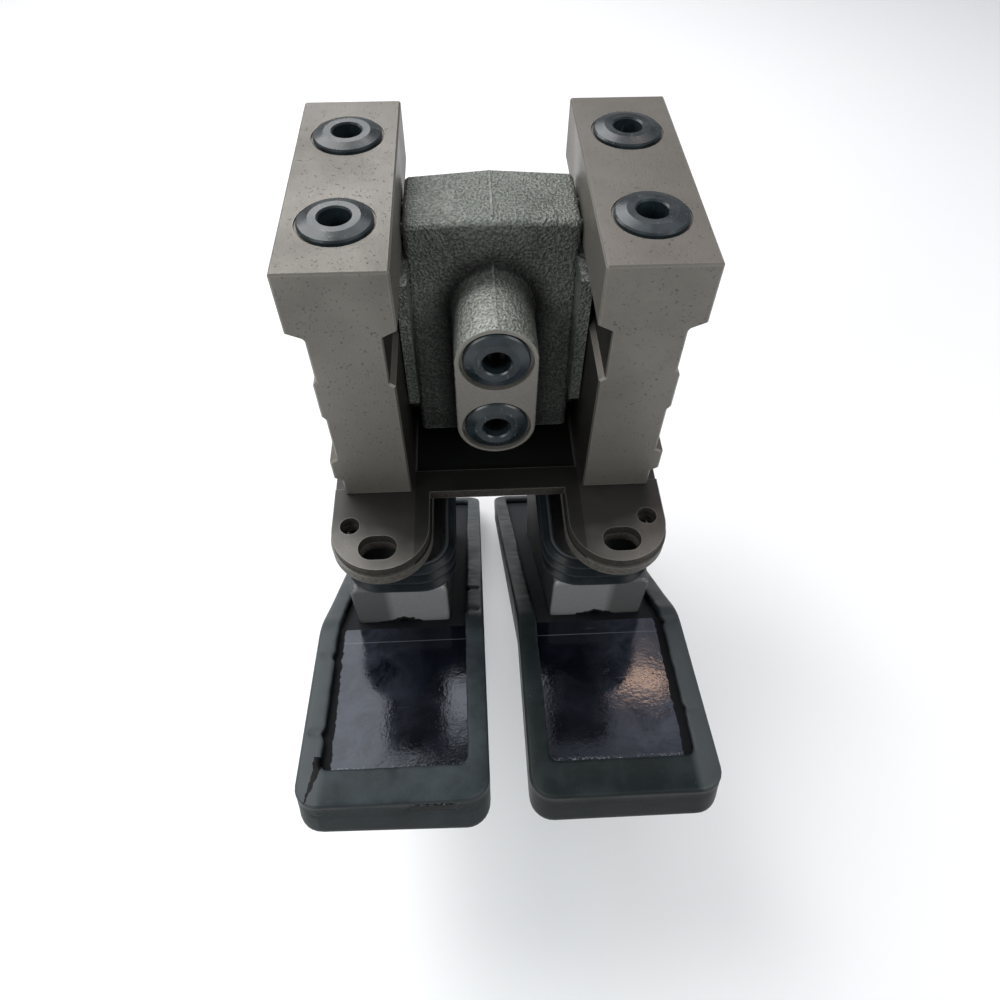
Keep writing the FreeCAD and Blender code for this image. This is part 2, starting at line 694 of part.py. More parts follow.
def coil_spring(label, x, y, low, high, coil, wire, turns):
    """A round-wire spring: half-turn arcs, leaning one way and then the other, each half a pitch higher."""
    inset = wire.value + 0.05
    radius = coil.value
    half_turns = round(2 * turns.value)
    step = (high.value - low.value - 2 * inset) / half_turns
    bulge = math.hypot(radius, step / 2)
    arcs = []
    for k in range(half_turns):
        way = 1 if k % 2 == 0 else -1
        start = vector(way * radius, 0, k * step)
        middle = vector(0, way * bulge, (k + 0.5) * step)
        end = vector(-way * radius, 0, (k + 1) * step)
        arcs.append(Part.Arc(start, middle, end).toShape())
    profile = Part.Wire(Part.Circle(vector(radius, 0, 0), Y_AXIS, wire.value).toShape())
    feature = doc.addObject("Part::Feature", "Spring")
    feature.Shape = Part.Wire(arcs).makePipeShell([profile], True, True)
    spot = vector(as_size(x).value, as_size(y).value, low.value + inset)
    feature.Placement = FreeCAD.Placement(spot, FreeCAD.Rotation())
    keep(feature, label)


def spool_train(name, x, y):
    rod_guide(name, x, y)
    push_rod(name, x, y)
    spring_seat(name, x, y)
    spool(name, x, y)
    seat_top = size("rod_top") + size("seat_thick")
    coil_spring(f"{name}_return_spring", x, y, seat_top, size("chamber_top"), size("return_coil"),
                size("return_wire"), size("return_turns"))
    coil_spring(f"{name}_balance_spring", x, y, seat_top, size("spool_low"), size("balance_coil"),
                size("balance_wire"), size("balance_turns"))


# ---- cam, shaft and bushes --------------------------------------------------------------

def cam(name, side):
    """The rocking cam: flat arms under the push rods, a hub on the shaft and a foot on the bracket."""
    arm = size("cam_arm")
    foot = size("cam_foot")
    top = -size("cam_top")
    base = -size("bellows_low")
    outline = [(-arm, top), (arm, top), (arm, -size("cam_side")), (foot, base), (-foot, base),
               (-arm, -size("cam_side"))]
    x = side * size("cam_x")
    blank = fuse(padded("YZ_Plane", outline, size("cam_wide"), x),
                 rod(size("cam_hub"), size("cam_wide"), x - size("cam_wide") / 2, 0, -size("pivot_z"),
                     "x"))
    shaft_bore = rod(size("shaft_radius") + 0.01, 40, x - 20, 0, -size("pivot_z"), "x")
    holes = [rod(size("cam_bolt_radius") + 0.05, size("cam_bolt_long"), x, end * size("cam_bolt_y"), base - 1)
             for _, end in ENDS]
    keep(cut(blank, shaft_bore, *holes), f"{name}_cam")


def cam_shaft(name, side):
    half = size("cam_wide") / 2 + size("lug_gap") + size("lug_thick")
    bar = rod(size("shaft_radius"), half * 2, side * size("cam_x") - half, 0, -size("pivot_z"), "x")
    keep(bevel_edges(bar, size("edge_break"), lambda edge: edge.Curve.TypeId == "Part::GeomCircle"),
         f"{name}_cam_shaft")


def shaft_bushes(name, side):
    bushes = []
    for way in (-1, 1):
        x = side * size("cam_x") + way * (size("cam_wide") / 2 + size("lug_gap"))
        if way < 0:
            x = x - size("lug_thick")
        outer = size("shaft_radius") + size("bush_wall") - 0.01
        inner = size("shaft_radius") + size("running_gap")
        bushes.append(cut(rod(outer, size("lug_thick"), x, 0, -size("pivot_z"), "x"),
                          rod(inner, size("lug_thick") + 2, x - 1, 0, -size("pivot_z"), "x")))
    keep(group(*bushes), f"{name}_shaft_bushes")


# ---- bellows ----------------------------------------------------------------------------

def rounded_slab(x, half_x, half_y, corner, low, tall):
    blank = centred_box(x, 0, low, half_x * 2, half_y * 2, tall)
    return round_edges(blank, corner, lambda edge: runs_along(edge, Z_AXIS))


def bellows(name, side):
    """A rounded-rectangle rubber bellows with three folds, open at both ends."""
    x = side * size("bellows_x")
    top = -size("flange_thick") - size("cover_thick") - 0.1
    low = 0.1 - size("bellows_low")
    pitch = (top - low) / 6
    slabs = []
    for fold in range(3):
        slabs.append(rounded_slab(x, size("bellows_half_x"), size("bellows_half_y"), size("bellows_corner"),
                                  low + pitch * (2 * fold + 1), pitch))
    shrink = size("fold_depth")
    core = rounded_slab(x, size("bellows_half_x") - shrink, size("bellows_half_y") - shrink,
                        size("bellows_corner") - shrink, low, top - low)
    wall = size("bellows_wall")
    hollow = rounded_slab(x, size("bellows_half_x") - wall, size("bellows_half_y") - wall,
                          size("bellows_corner") - wall, low - 1, top - low + 2)
    keep(cut(fuse(core, *slabs), hollow), f"{name}_bellows")


# ---- pedal: outline worked out from the heel, the bend and the toe ----------------------

def pedal_line(depth, heel_inset=0, toe_inset=0):
    """Heel, bend and toe points of the pedal's side view, at a depth below the pad's rim."""
    heel = size("heel_slope")
    toe = size("toe_slope")
    half_bend = (toe - heel) / 2
    middle = (toe + heel) / 2
    depth = as_size(depth)
    start_y = -size("heel_y")
    start_z = -size("heel_z")
    bend_y = start_y + size("heel_long") * cosine(heel)
    bend_z = start_z - size("heel_long") * sine(heel)
    end_y = bend_y + (size("toe_long") - toe_inset) * cosine(toe)
    end_z = bend_z - (size("toe_long") - toe_inset) * sine(toe)
    mitre = depth / cosine(half_bend)
    return [(start_y + heel_inset * cosine(heel) - depth * sine(heel),
             start_z - heel_inset * sine(heel) - depth * cosine(heel)),
            (bend_y - mitre * sine(middle), bend_z - mitre * cosine(middle)),
            (end_y - depth * sine(toe), end_z - depth * cosine(toe))]


def pedal_band(upper, lower, heel_inset=0, toe_inset=0):
    """Closed side outline between two depths below the rim."""
    return pedal_line(upper, heel_inset, toe_inset) + pedal_line(lower, heel_inset, toe_inset)[::-1]


def heel_corner(edge, wide):
    """True for the two heel corner edges of a pedal slab, which stand across the heel's slope."""
    middle = edge.CenterOfMass
    heel = math.radians(SIZES["heel_slope"])
    across = vector(0, -math.sin(heel), -math.cos(heel))
    near = middle.y < 2 - SIZES["heel_y"] + 20
    return near and runs_along(edge, across) and edge.Length < wide


def toe_corner(edge, wide):
    toe = math.radians(SIZES["toe_slope"])
    across = vector(0, -math.sin(toe), -math.cos(toe))
    return edge.CenterOfMass.y > 0 and runs_along(edge, across) and edge.Length < wide


def pedal_pad(name, side):
    """The thick rubber boot: a sole with a rim that wraps over the plate's edges."""
    x = side * size("pedal_x")
    wide = size("pad_wide")
    blank = padded("YZ_Plane", pedal_band(0, size("pad_thick")), wide, x)
    blank = round_edges(blank, size("pad_corner"),
                        lambda edge: heel_corner(edge, 30) or toe_corner(edge, 30))
    window = padded("YZ_Plane", pedal_band(-5, size("lip_thick") + 0.5, size("lip_end"), size("lip_side")),
                    wide - size("lip_side") * 2, x)
    slot = padded("YZ_Plane", pedal_band(size("lip_thick"), size("lip_thick") + size("plate_thick")
                                         + size("fit_gap") * 2, size("plate_inset"), size("plate_inset")),
                  wide - size("plate_inset") * 2, x)
    keep(cut(blank, window, slot), f"{name}_pedal_pad")


def plate_bolt_places(side):
    """Centres of the plate bolts along the toe part, as distance from the bend and offset across."""
    return [(along, side * size("pedal_x") + way * size("plate_bolt_side"))
            for along in (size("plate_bolt_near"), size("plate_bolt_far")) for way in (-1, 1)]


def on_toe(thing, along, x, depth):
    """Stand a feature on the toe part, pointing into the bracket, at a depth below the rim."""
    toe = size("toe_slope")
    heel = size("heel_slope")
    depth = as_size(depth)
    bend_y = -size("heel_y") + size("heel_long") * cosine(heel)
    bend_z = -size("heel_z") - size("heel_long") * sine(heel)
    turn_by(thing, vector(-1, 0, 0), toe)
    return place(thing, x, bend_y + along * cosine(toe) - depth * sine(toe),
                 bend_z - along * sine(toe) - depth * cosine(toe))


def bare_rod(radius, length):
    return bind(doc.addObject("Part::Cylinder", "Bar"), Radius=radius, Height=length)


def pedal_plate(name, side):
    x = side * size("pedal_x")
    gap = size("fit_gap")
    upper = size("lip_thick") + gap
    inset = size("plate_inset") + gap
    blank = padded("YZ_Plane", pedal_band(upper, upper + size("plate_thick"), inset, inset),
                   size("pad_wide") - inset * 2, x)
    blank = round_edges(blank, size("pad_corner") - inset + 1, lambda edge: heel_corner(edge, 30))
    holes = []
    for along, spot in plate_bolt_places(side):
        holes.append(on_toe(bare_rod(size("plate_bolt_radius") + 0.2, 30), along, spot, upper + 15))
    keep(cut(blank, *holes), f"{name}_pedal_plate")


def bracket_profile(inset):
    """Side outline of the bracket, shrunk by an inset on every face but its open tail."""
    toe = size("toe_slope")
    upper = size("lip_thick") + size("fit_gap")
    _, bend, _ = pedal_line(upper - inset)
    front = inset - size("bracket_front")
    tail = size("bracket_back") + inset
    heel = size("bracket_heel") + inset

    def plate_height(y):
        return bend[1] - (y - bend[0]) * sine(toe) / cosine(toe)

    top = -size("bellows_low") - inset
    return [(front, top), (tail, top), (tail, top - size("bracket_tail")), (heel, plate_height(heel)),
            (front, plate_height(front))]


def pedal_bracket(name, side):
    """The painted riser between cam and plate: a folded box, open at its tail."""
    x = side * size("pedal_x")
    wall = size("bracket_wall")
    outer = padded("YZ_Plane", bracket_profile(as_size(0)), size("bracket_wide"), x)

    def is_side_rim(edge):
        return abs(edge.CenterOfMass.z + size("bellows_low").value) < 0.01 and runs_along(edge, Y_AXIS)

    def is_front_corner(edge):
        return abs(edge.CenterOfMass.y + size("bracket_front").value) < 0.01 and runs_along(edge, Z_AXIS)

    outer = round_edges(outer, size("bracket_edge"), is_side_rim)
    outer = round_edges(outer, size("bracket_corner"), is_front_corner)
    inner = padded("YZ_Plane", bracket_profile(wall), size("bracket_wide") - wall * 2, x)
    holes = [rod(size("cam_bolt_radius") + size("hole_gap"), 20, side * size("cam_x"),
                 end * size("cam_bolt_y"), -size("bellows_low") - 10) for _, end in ENDS]
    for along, spot in plate_bolt_places(side):
        holes.append(on_toe(bare_rod(size("plate_bolt_radius") + 0.2, 20), along, spot,
                            size("lip_thick") + 5))
    front_foot = bracket_profile(as_size(0))[-1][1]
    holes.append(rod(size("drain_radius"), wall * 2, x, -size("bracket_front") - wall, front_foot, "y"))
    keep(cut(outer, inner, *holes), f"{name}_pedal_bracket")


# ---- fasteners --------------------------------------------------------------------------

def tie_bolt_parts():
    """Long cap screws through both blocks and the casting, with nuts and washers."""
    bolts = []
    nuts = []
    washers = []
    for y, z in tie_places():
        face = (size("neck_outer") if z.value < 50 else size("head_outer")) - size("counterbore_deep")
        thick = size("washer_thick")
        head = rod(size("tie_head_radius"), size("tie_head_tall"), -face - thick, y, z, "-x")
        shank_long = (face + thick) * 2 + size("nut_tall") + 1.5
        shank = rod(size("tie_radius"), shank_long, -face - thick, y, z, "x")
        socket = hexagon(size("key_flats") + 1, 4, -face - thick - size("tie_head_tall") - 1, y, z, "x")
        bolts.append(cut(fuse(head, shank), socket))
        bore = size("tie_radius") + 0.05
        nuts.append(cut(hexagon(size("nut_flats"), size("nut_tall"), face + thick, y, z, "x"),
                        rod(bore, 20, face, y, z, "x")))
        for start in (-face - thick, face):
            washers.append(cut(rod(size("washer_radius"), thick, start, y, z, "x"),
                               rod(bore, thick + 2, start - 1, y, z, "x")))
    keep(group(*bolts), "tie_bolts")
    keep(group(*nuts), "tie_bolt_nuts")
    keep(group(*washers), "tie_bolt_washers")


def cap_screw(radius, length, head_radius, head_tall, x, y, z, flats):
    """A socket screw whose head sits under z and whose shank runs up."""
    head = rod(head_radius, head_tall, x, y, z, "-z")
    socket = hexagon(flats, head_tall * 0.6 + 1, x, y, z - head_tall - 1)
    return cut(fuse(head, rod(radius, length, x, y, z)), socket)


def cover_screws():
    low = -size("flange_thick") - size("cover_thick")
    screws = [cap_screw(size("screw_radius"), size("screw_long"), size("screw_head_radius"),
                        size("screw_head_tall"), x, y, low, size("key_flats"))
              for _, side in SIDES for x, y in screw_places(side)]
    keep(group(*screws), "cover_screws")


def cam_bolts(name, side):
    low = -size("bellows_low") - size("bracket_wall")
    bolts = [cap_screw(size("cam_bolt_radius"), size("cam_bolt_long"), size("cam_bolt_head"),
                       size("cam_bolt_head_tall"), side * size("cam_x"), end * size("cam_bolt_y"), low,
                       size("key_flats") + 1) for _, end in ENDS]
    keep(group(*bolts), f"{name}_cam_bolts")


def plate_bolts(name, side):
    """Bolts through the bracket's floor into the pedal plate, with their heads inside the bracket."""
    bolts = []
    inside = size("lip_thick") + size("fit_gap") - size("bracket_wall")
    for along, spot in plate_bolt_places(side):
        head = on_toe(bare_rod(size("plate_bolt_head"), 4), along, spot, inside)
        shank = on_toe(bare_rod(size("plate_bolt_radius"), size("bracket_wall") + size("plate_thick")),
                       along, spot, size("lip_thick") + size("fit_gap") + size("plate_thick"))
        bolts.append(fuse(head, shank))
    keep(group(*bolts), f"{name}_plate_bolts")


# ---- the whole object -------------------------------------------------------------------

for side_name, side_sign in SIDES:
    valve_block(side_name, side_sign)
    port_plugs(side_name, side_sign)
    cover_plate(side_name, side_sign)
    cam(side_name, side_sign)
    cam_shaft(side_name, side_sign)
    shaft_bushes(side_name, side_sign)
    bellows(side_name, side_sign)
    pedal_bracket(side_name, side_sign)
    pedal_plate(side_name, side_sign)
    pedal_pad(side_name, side_sign)
    cam_bolts(side_name, side_sign)
    plate_bolts(side_name, side_sign)
    for end_name, end_sign in ENDS:
        spool_train(f"{side_name}_{end_name}", side_sign * size("spool_x"), end_sign * size("port_y"))

centre_manifold()
supply_plugs()
face_rings()
flange_plate()
tie_bolt_parts()
cover_screws()
train_places = [(side * size("spool_x"), end * size("port_y")) for _, side in SIDES for _, end in ENDS]
keep(group(*[rod_seal(x, y) for x, y in train_places]), "rod_seals")
keep(group(*[guide_ring(x, y) for x, y in train_places]), "guide_o_rings")

doc.recompute()
faults = [f"{item.Label} {item.State}" for item in doc.Objects
          if "Invalid" in item.State or "Error" in item.State]
faults += [part.Label for part in parts
           if part.Shape.isNull() or not part.Shape.isValid() or part.Shape.Volume <= 0]
if faults:
    raise RuntimeError("failed features: " + ", ".join(faults))
if len(parts) > 60:
    raise RuntimeError("more sub-parts than the library takes")

os.makedirs("parts", exist_ok=True)
for part in parts:
    part.Shape.exportStep(f"parts/{part.Label}.step")
print(len(parts), "sub-parts written")
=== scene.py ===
import math

import bmesh
import bpy
from mathutils import Euler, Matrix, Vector, noise


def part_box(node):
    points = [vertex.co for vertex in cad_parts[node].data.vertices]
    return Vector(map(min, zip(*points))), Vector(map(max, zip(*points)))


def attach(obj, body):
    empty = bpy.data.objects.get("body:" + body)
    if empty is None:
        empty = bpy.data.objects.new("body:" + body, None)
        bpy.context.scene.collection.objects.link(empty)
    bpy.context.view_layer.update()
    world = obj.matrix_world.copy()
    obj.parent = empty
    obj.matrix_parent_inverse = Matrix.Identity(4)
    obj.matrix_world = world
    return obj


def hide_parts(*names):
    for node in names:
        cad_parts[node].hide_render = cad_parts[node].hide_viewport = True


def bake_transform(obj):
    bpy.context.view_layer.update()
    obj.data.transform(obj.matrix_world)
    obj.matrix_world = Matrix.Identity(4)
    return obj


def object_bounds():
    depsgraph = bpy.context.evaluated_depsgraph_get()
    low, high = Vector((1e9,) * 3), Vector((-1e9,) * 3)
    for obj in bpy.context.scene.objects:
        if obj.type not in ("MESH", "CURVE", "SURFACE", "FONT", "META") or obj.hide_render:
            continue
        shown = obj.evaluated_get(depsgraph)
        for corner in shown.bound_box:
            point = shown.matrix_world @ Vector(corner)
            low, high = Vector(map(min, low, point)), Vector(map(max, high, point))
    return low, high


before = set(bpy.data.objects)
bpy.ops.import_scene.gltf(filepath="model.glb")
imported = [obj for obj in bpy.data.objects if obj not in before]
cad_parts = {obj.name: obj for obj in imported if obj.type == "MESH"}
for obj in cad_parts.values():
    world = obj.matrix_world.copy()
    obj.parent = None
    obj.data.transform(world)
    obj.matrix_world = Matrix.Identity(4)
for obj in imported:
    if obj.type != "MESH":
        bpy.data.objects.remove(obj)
cad_low, cad_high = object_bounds()

SIDES = {"left": -1, "right": 1}
MM = 0.001


# ---- camera, lights and floor -----------------------------------------------------------

CAMERA_AT = Vector((-9.7, -254.2, 261.8)) * MM
CAMERA_HEADING = -3.15
CAMERA_ELEVATION = 53.73
CAMERA_ROLL = 0.52
CAMERA_LENS = 26.42
CAMERA_NEAREST = 0.005

FLOOR_REACH = 6.0
FLOOR_GAP = 0.5 * MM
SKY_COLOUR = (0.93, 0.96, 1.0, 1)
SKY_STRENGTH = 0.32

MIDDLE = (0, 0, 0)
# name, place, what it aims at, width and height in metres, watts, colour
LIGHTS = (
    ("back", (-0.60, 0.87, 1.15), MIDDLE, (1.7, 0.95), 22.5, (0.99, 0.99, 1.0)),
    ("back_right", (0.39, 0.85, 1.24), MIDDLE, (0.9, 0.6), 1.8, (0.90, 0.88, 1.0)),
    ("front_left", (-1.0, -0.85, 0.72), MIDDLE, (0.8, 0.7), 9.5, (0.97, 0.99, 1.0)),
    ("front_right", (1.0, -0.85, 0.72), MIDDLE, (0.8, 0.7), 8, (0.97, 0.99, 1.0)),
    ("window", (0.264, 0.441, 0.745), (0.061, -0.126, -0.053), (0.092, 0.033), 0.18, (1.0, 0.60, 0.38)),
    ("overhead", (-0.55, 0.25, 1.4), MIDDLE, (0.5, 0.5), 5, (1, 1, 1)),
)


def make_camera():
    data = bpy.data.cameras.new("camera")
    data.lens = CAMERA_LENS
    data.sensor_width = 36
    data.clip_start = CAMERA_NEAREST
    camera = bpy.data.objects.new("camera", data)
    bpy.context.collection.objects.link(camera)
    tilt = Euler((math.radians(90 - CAMERA_ELEVATION), 0, math.radians(CAMERA_HEADING))).to_matrix()
    roll = Euler((0, 0, math.radians(CAMERA_ROLL))).to_matrix()
    camera.matrix_world = (tilt @ roll).to_4x4()
    camera.location = CAMERA_AT
    bpy.context.scene.camera = camera


def soft_light(name, place, aim, wide, watts, colour):
    data = bpy.data.lights.new(name, "AREA")
    data.shape = "RECTANGLE"
    data.size, data.size_y = wide
    data.energy = watts
    data.color = colour
    light = bpy.data.objects.new(name, data)
    bpy.context.collection.objects.link(light)
    light.location = place
    light.rotation_euler = (Vector(aim) - Vector(place)).to_track_quat("-Z", "Y").to_euler()


def make_studio():
    world = bpy.data.worlds.new("studio")
    bpy.context.scene.world = world
    world.use_nodes = True
    sky = world.node_tree.nodes["Background"]
    sky.inputs["Color"].default_value = SKY_COLOUR
    sky.inputs["Strength"].default_value = SKY_STRENGTH
    bpy.context.scene.view_settings.view_transform = "Standard"
    for light in LIGHTS:
        soft_light(*light)
    mesh = bpy.data.meshes.new("floor")
    low = cad_low[2] - FLOOR_GAP
    corners = ((-1, -1), (1, -1), (1, 1), (-1, 1))
    mesh.from_pydata([(x * FLOOR_REACH, y * FLOOR_REACH, low) for x, y in corners], [], [(0, 1, 2, 3)])
    floor = bpy.data.objects.new("floor", mesh)
    bpy.context.collection.objects.link(floor)
    mesh.materials.append(plain_floor())


# ---- node helpers -----------------------------------------------------------------------

# Near black that darken() mixes towards; every darken() below paints shade.
SHADE_BLACK = (0.002, 0.002, 0.002)
EDGE_WEAR = 0.7 * MM


class Shader:
    """A principled material under construction, in the object's own coordinates (metres)."""

    def __init__(self, name, roughness=0.5, metallic=0.0, **sockets):
        self.material = bpy.data.materials.new(name)
        self.material.use_nodes = True
        self.tree = self.material.node_tree
        self.surface = self.tree.nodes["Principled BSDF"]
        self.surface.inputs["Roughness"].default_value = roughness
        self.surface.inputs["Metallic"].default_value = metallic
        for socket, value in sockets.items():
            self.surface.inputs[socket.replace("_", " ")].default_value = value
        self.place = self.tree.nodes.new("ShaderNodeTexCoord").outputs["Object"]
        self.height = None

    def node(self, kind, **settings):
        node = self.tree.nodes.new(kind)
        for name, value in settings.items():
            setattr(node, name, value)
        return node

    def link(self, out, into):
        self.tree.links.new(out, into)

    def noise(self, scale, detail=3.0, rough=0.55, stretch=(1, 1, 1), shift=(0, 0, 0), distortion=0.0):
        """Noise from about 0.3 to 0.7 with features 1/scale metres across."""
        mapping = self.node("ShaderNodeMapping")
        mapping.inputs["Scale"].default_value = stretch
        mapping.inputs["Location"].default_value = shift
        self.link(self.place, mapping.inputs["Vector"])
        texture = self.node("ShaderNodeTexNoise")
        texture.inputs["Scale"].default_value = scale
        texture.inputs["Detail"].default_value = detail
        texture.inputs["Roughness"].default_value = rough
        texture.inputs["Distortion"].default_value = distortion
        self.link(mapping.outputs["Vector"], texture.inputs["Vector"])
        return texture.outputs["Fac"]

    def ramp(self, value, low, high):
        """Value stretched so that low gives 0 and high gives 1, clipped."""
        stretch = self.node("ShaderNodeMapRange", clamp=True)
        stretch.inputs["From Min"].default_value = low
        stretch.inputs["From Max"].default_value = high
        self.link(value, stretch.inputs["Value"])
        return stretch.outputs["Result"]

    def math(self, operation, first, second=0.0):
        node = self.node("ShaderNodeMath", operation=operation)
        for socket, value in zip(node.inputs, (first, second)):
            if isinstance(value, (int, float)):
                socket.default_value = value
            else:
                self.link(value, socket)
        return node.outputs[0]

    def times(self, first, second):
        return self.math("MULTIPLY", first, second)

    def axis(self, name):
        split = self.node("ShaderNodeSeparateXYZ")
        self.link(self.place, split.inputs[0])
        return split.outputs[name]

    def away(self, name):
        """Distance from the middle along an axis, either way."""
        return self.math("ABSOLUTE", self.axis(name))

    def facing(self, name):
        """How far the true surface faces along an axis."""
        split = self.node("ShaderNodeSeparateXYZ")
        self.link(self.node("ShaderNodeNewGeometry").outputs["True Normal"], split.inputs[0])
        return split.outputs[name]

    def faces(self, name):
        """How far the true surface faces along an axis, either way."""
        return self.math("ABSOLUTE", self.facing(name))

    def edges(self):
        """Sharp edges, for wear: where a bevelled normal leaves the true one."""
        bevel = self.node("ShaderNodeBevel", samples=4)
        bevel.inputs["Radius"].default_value = EDGE_WEAR
        compare = self.node("ShaderNodeVectorMath", operation="DOT_PRODUCT")
        self.link(bevel.outputs["Normal"], compare.inputs[0])
        self.link(self.node("ShaderNodeNewGeometry").outputs["Normal"], compare.inputs[1])
        return self.ramp(self.math("SUBTRACT", 1.0, compare.outputs["Value"]), 0.01, 0.12)

    def crests(self):
        """Outward bends of a finely divided mesh."""
        return self.ramp(self.node("ShaderNodeNewGeometry").outputs["Pointiness"], 0.53, 0.62)

    def darken(self, amount, colour, factor):
        """Painted shade: colour scaled towards factor where amount is 1."""
        return self.mix(amount, colour, self.mix(1.0 - factor, colour, SHADE_BLACK))

    def mix(self, amount, first, second):
        node = self.node("ShaderNodeMix", data_type="RGBA")
        for socket, value in ((node.inputs["Factor"], amount), (node.inputs["A"], first),
                              (node.inputs["B"], second)):
            if isinstance(value, tuple):
                socket.default_value = (*value, 1)
            elif isinstance(value, (int, float)):
                socket.default_value = value
            else:
                self.link(value, socket)
        return node.outputs["Result"]

    def blend(self, amount, first, second):
        """Mix of two numbers."""
        node = self.node("ShaderNodeMix", data_type="FLOAT")
        for socket, value in zip(node.inputs[:1] + node.inputs[2:4], (amount, first, second)):
            if isinstance(value, (int, float)):
                socket.default_value = value
            else:
                self.link(value, socket)
        return node.outputs["Result"]

    def bump(self, height, depth, strength):
        """Adds relief of a given depth in metres."""
        node = self.node("ShaderNodeBump")
        node.inputs["Distance"].default_value = depth
        if isinstance(strength, (int, float)):
            node.inputs["Strength"].default_value = strength
        else:
            self.link(strength, node.inputs["Strength"])
        self.link(height, node.inputs["Height"])
        if self.height is not None:
            self.link(self.height, node.inputs["Normal"])
        self.height = node.outputs["Normal"]

    def finish(self, colour, roughness=None):
        self.link(colour, self.surface.inputs["Base Color"])
        if roughness is not None:
            self.link(roughness, self.surface.inputs["Roughness"])
        if self.height is not None:
            self.link(self.height, self.surface.inputs["Normal"])
        return self.material


# ---- materials --------------------------------------------------------------------------

# Where finishes change. A pair runs from where the change starts to where it is complete.
# Valve blocks: the painted shade on their inner flanks lies inside and below these.
INNER_FLANK = 40.6 * MM
FLANK_STEP = 91.5 * MM
# Manifold: the ports' heights, what is machined, the painted shade round the boss's root and the painted
# highlight on the crest.
UPPER_PORT = 66.8 * MM
LOWER_PORT = 30.4 * MM
SPOTFACE = 14.9 * MM
FACED_DEPTH = 0.25 * MM
SPOTFACE_DEPTH = 4 * MM
BOSS_WALL = (15.9 * MM, 17.6 * MM)
BOSS_ROOT = (25.5 * MM, 18.5 * MM)
ROOT_BACK = (-30 * MM, -18 * MM)
UNDER_BROW = (98 * MM, 93 * MM)
BROW_SHADE = (70 * MM, 90 * MM)
CREST_OUT = (-19 * MM, -24 * MM)
CREST_SIDE = (15 * MM, -5 * MM)
PARTING_STEP = (0.5 * MM, -0.5 * MM)
PARTING_LINE = 0.47 * MM
# Flange and cover plates: painted shade on the ears near the blocks, and in the pocket between the blocks.
EAR_SHADE = (109 * MM, 82 * MM)
POCKET_FLOOR = -2.5 * MM
BETWEEN_BLOCKS = 36.6 * MM
# Supply plugs: the depth and reach of the painted shade in their sockets.
SOCKET_DEPTH = (3 * MM, 5 * MM)
SUPPLY_REACH = 20 * MM
# Boots: the lighter top of the outer lip, and the tear across the left one's corner, painted near black as
# the shade inside it.
OUTER_LIP = (75 * MM, 78 * MM)
TEAR_ALONG = (-178 * MM, -162 * MM)
TEAR_ACROSS = -81.1 * MM
TEAR_LEAN = 4.0 * MM
TEAR_WIDE = 1.7 * MM
TEAR_END = -157 * MM
# Pedal plates: dried film, the painted shade of the gap along the outer lip, the crease's painted highlight
# and the flakes.
FILM_OUT = (36 * MM, 60 * MM)
PLATE_GAP_SHADE = 75.0 * MM
CREASE_WIDE = 0.22 * MM
FLAKES_LONG = 1.0 * MM
# Brackets: the shaded outer third and the stain's edge.
BRACKET_SHADE = (50 * MM, 54 * MM)
STAIN_EDGE = (7.2 * MM, 6.6 * MM)


def plain_floor():
    shader = Shader("floor_paint", roughness=0.6)
    tone = shader.ramp(shader.noise(3.0), 0.2, 0.8)
    return shader.finish(shader.mix(tone, (0.90, 0.905, 0.91), (0.92, 0.92, 0.92)))


def machined_iron():
    """Milled and phosphated iron: warm grey, faint cutter marks, fine dark pits, rubbed edges."""
    shader = Shader("machined_iron", roughness=0.46, metallic=0.45)
    cloud = shader.ramp(shader.noise(28, detail=5), 0.35, 0.66)
    colour = shader.mix(cloud, (0.114, 0.105, 0.091), (0.150, 0.139, 0.122))
    grain = shader.ramp(shader.noise(1500, detail=2), 0.35, 0.65)
    colour = shader.mix(shader.times(grain, 0.22), colour, (0.15, 0.138, 0.12))
    pits = shader.ramp(shader.noise(1000, detail=1, rough=0.3, shift=(3, 1, 2)), 0.68, 0.76)
    colour = shader.mix(shader.times(pits, 0.6), colour, (0.04, 0.036, 0.032))
    colour = shader.mix(shader.times(shader.edges(), 0.35), colour, (0.34, 0.325, 0.295))
    inward = shader.math("LESS_THAN", shader.away("X"), INNER_FLANK)
    low_down = shader.math("LESS_THAN", shader.axis("Z"), FLANK_STEP)
    flank = shader.ramp(shader.faces("X"), 0.5, 0.9)
    # Painted shade: the inner flanks below the step are darkened to near black, where shade falls between the
    # blocks.
    dark_patch = shader.times(shader.times(inward, low_down), flank)
    colour = shader.darken(dark_patch, colour, 0.12)
    marks = shader.noise(900, detail=1, stretch=(0.04, 1, 1))
    shader.bump(marks, 0.03 * MM, 0.5)
    shader.bump(grain, 0.05 * MM, 0.5)
    shader.bump(shader.times(pits, -1), 0.12 * MM, 0.8)
    return shader.finish(colour, shader.blend(cloud, 0.52, 0.40))


def from_port(shader, rise):
    """Distance from a supply port's axis of what lies a given height over it."""
    across = shader.math("POWER", shader.axis("X"), 2.0)
    return shader.math("SQRT", shader.math("ADD", across, shader.math("POWER", rise, 2.0)))


def machined_boss(shader, front):
    """1 on the boss's faced front and inside its spotfaces."""
    face = shader.math("LESS_THAN", shader.axis("Y"), front + FACED_DEPTH)
    bored = 0.0
    for port_height in (UPPER_PORT, LOWER_PORT):
        reach = from_port(shader, shader.math("SUBTRACT", shader.axis("Z"), port_height))
        bored = shader.math("MAXIMUM", bored, shader.math("LESS_THAN", reach, SPOTFACE))
    near = shader.math("LESS_THAN", shader.axis("Y"), front + SPOTFACE_DEPTH)
    return shader.math("MAXIMUM", face, shader.times(bored, near))


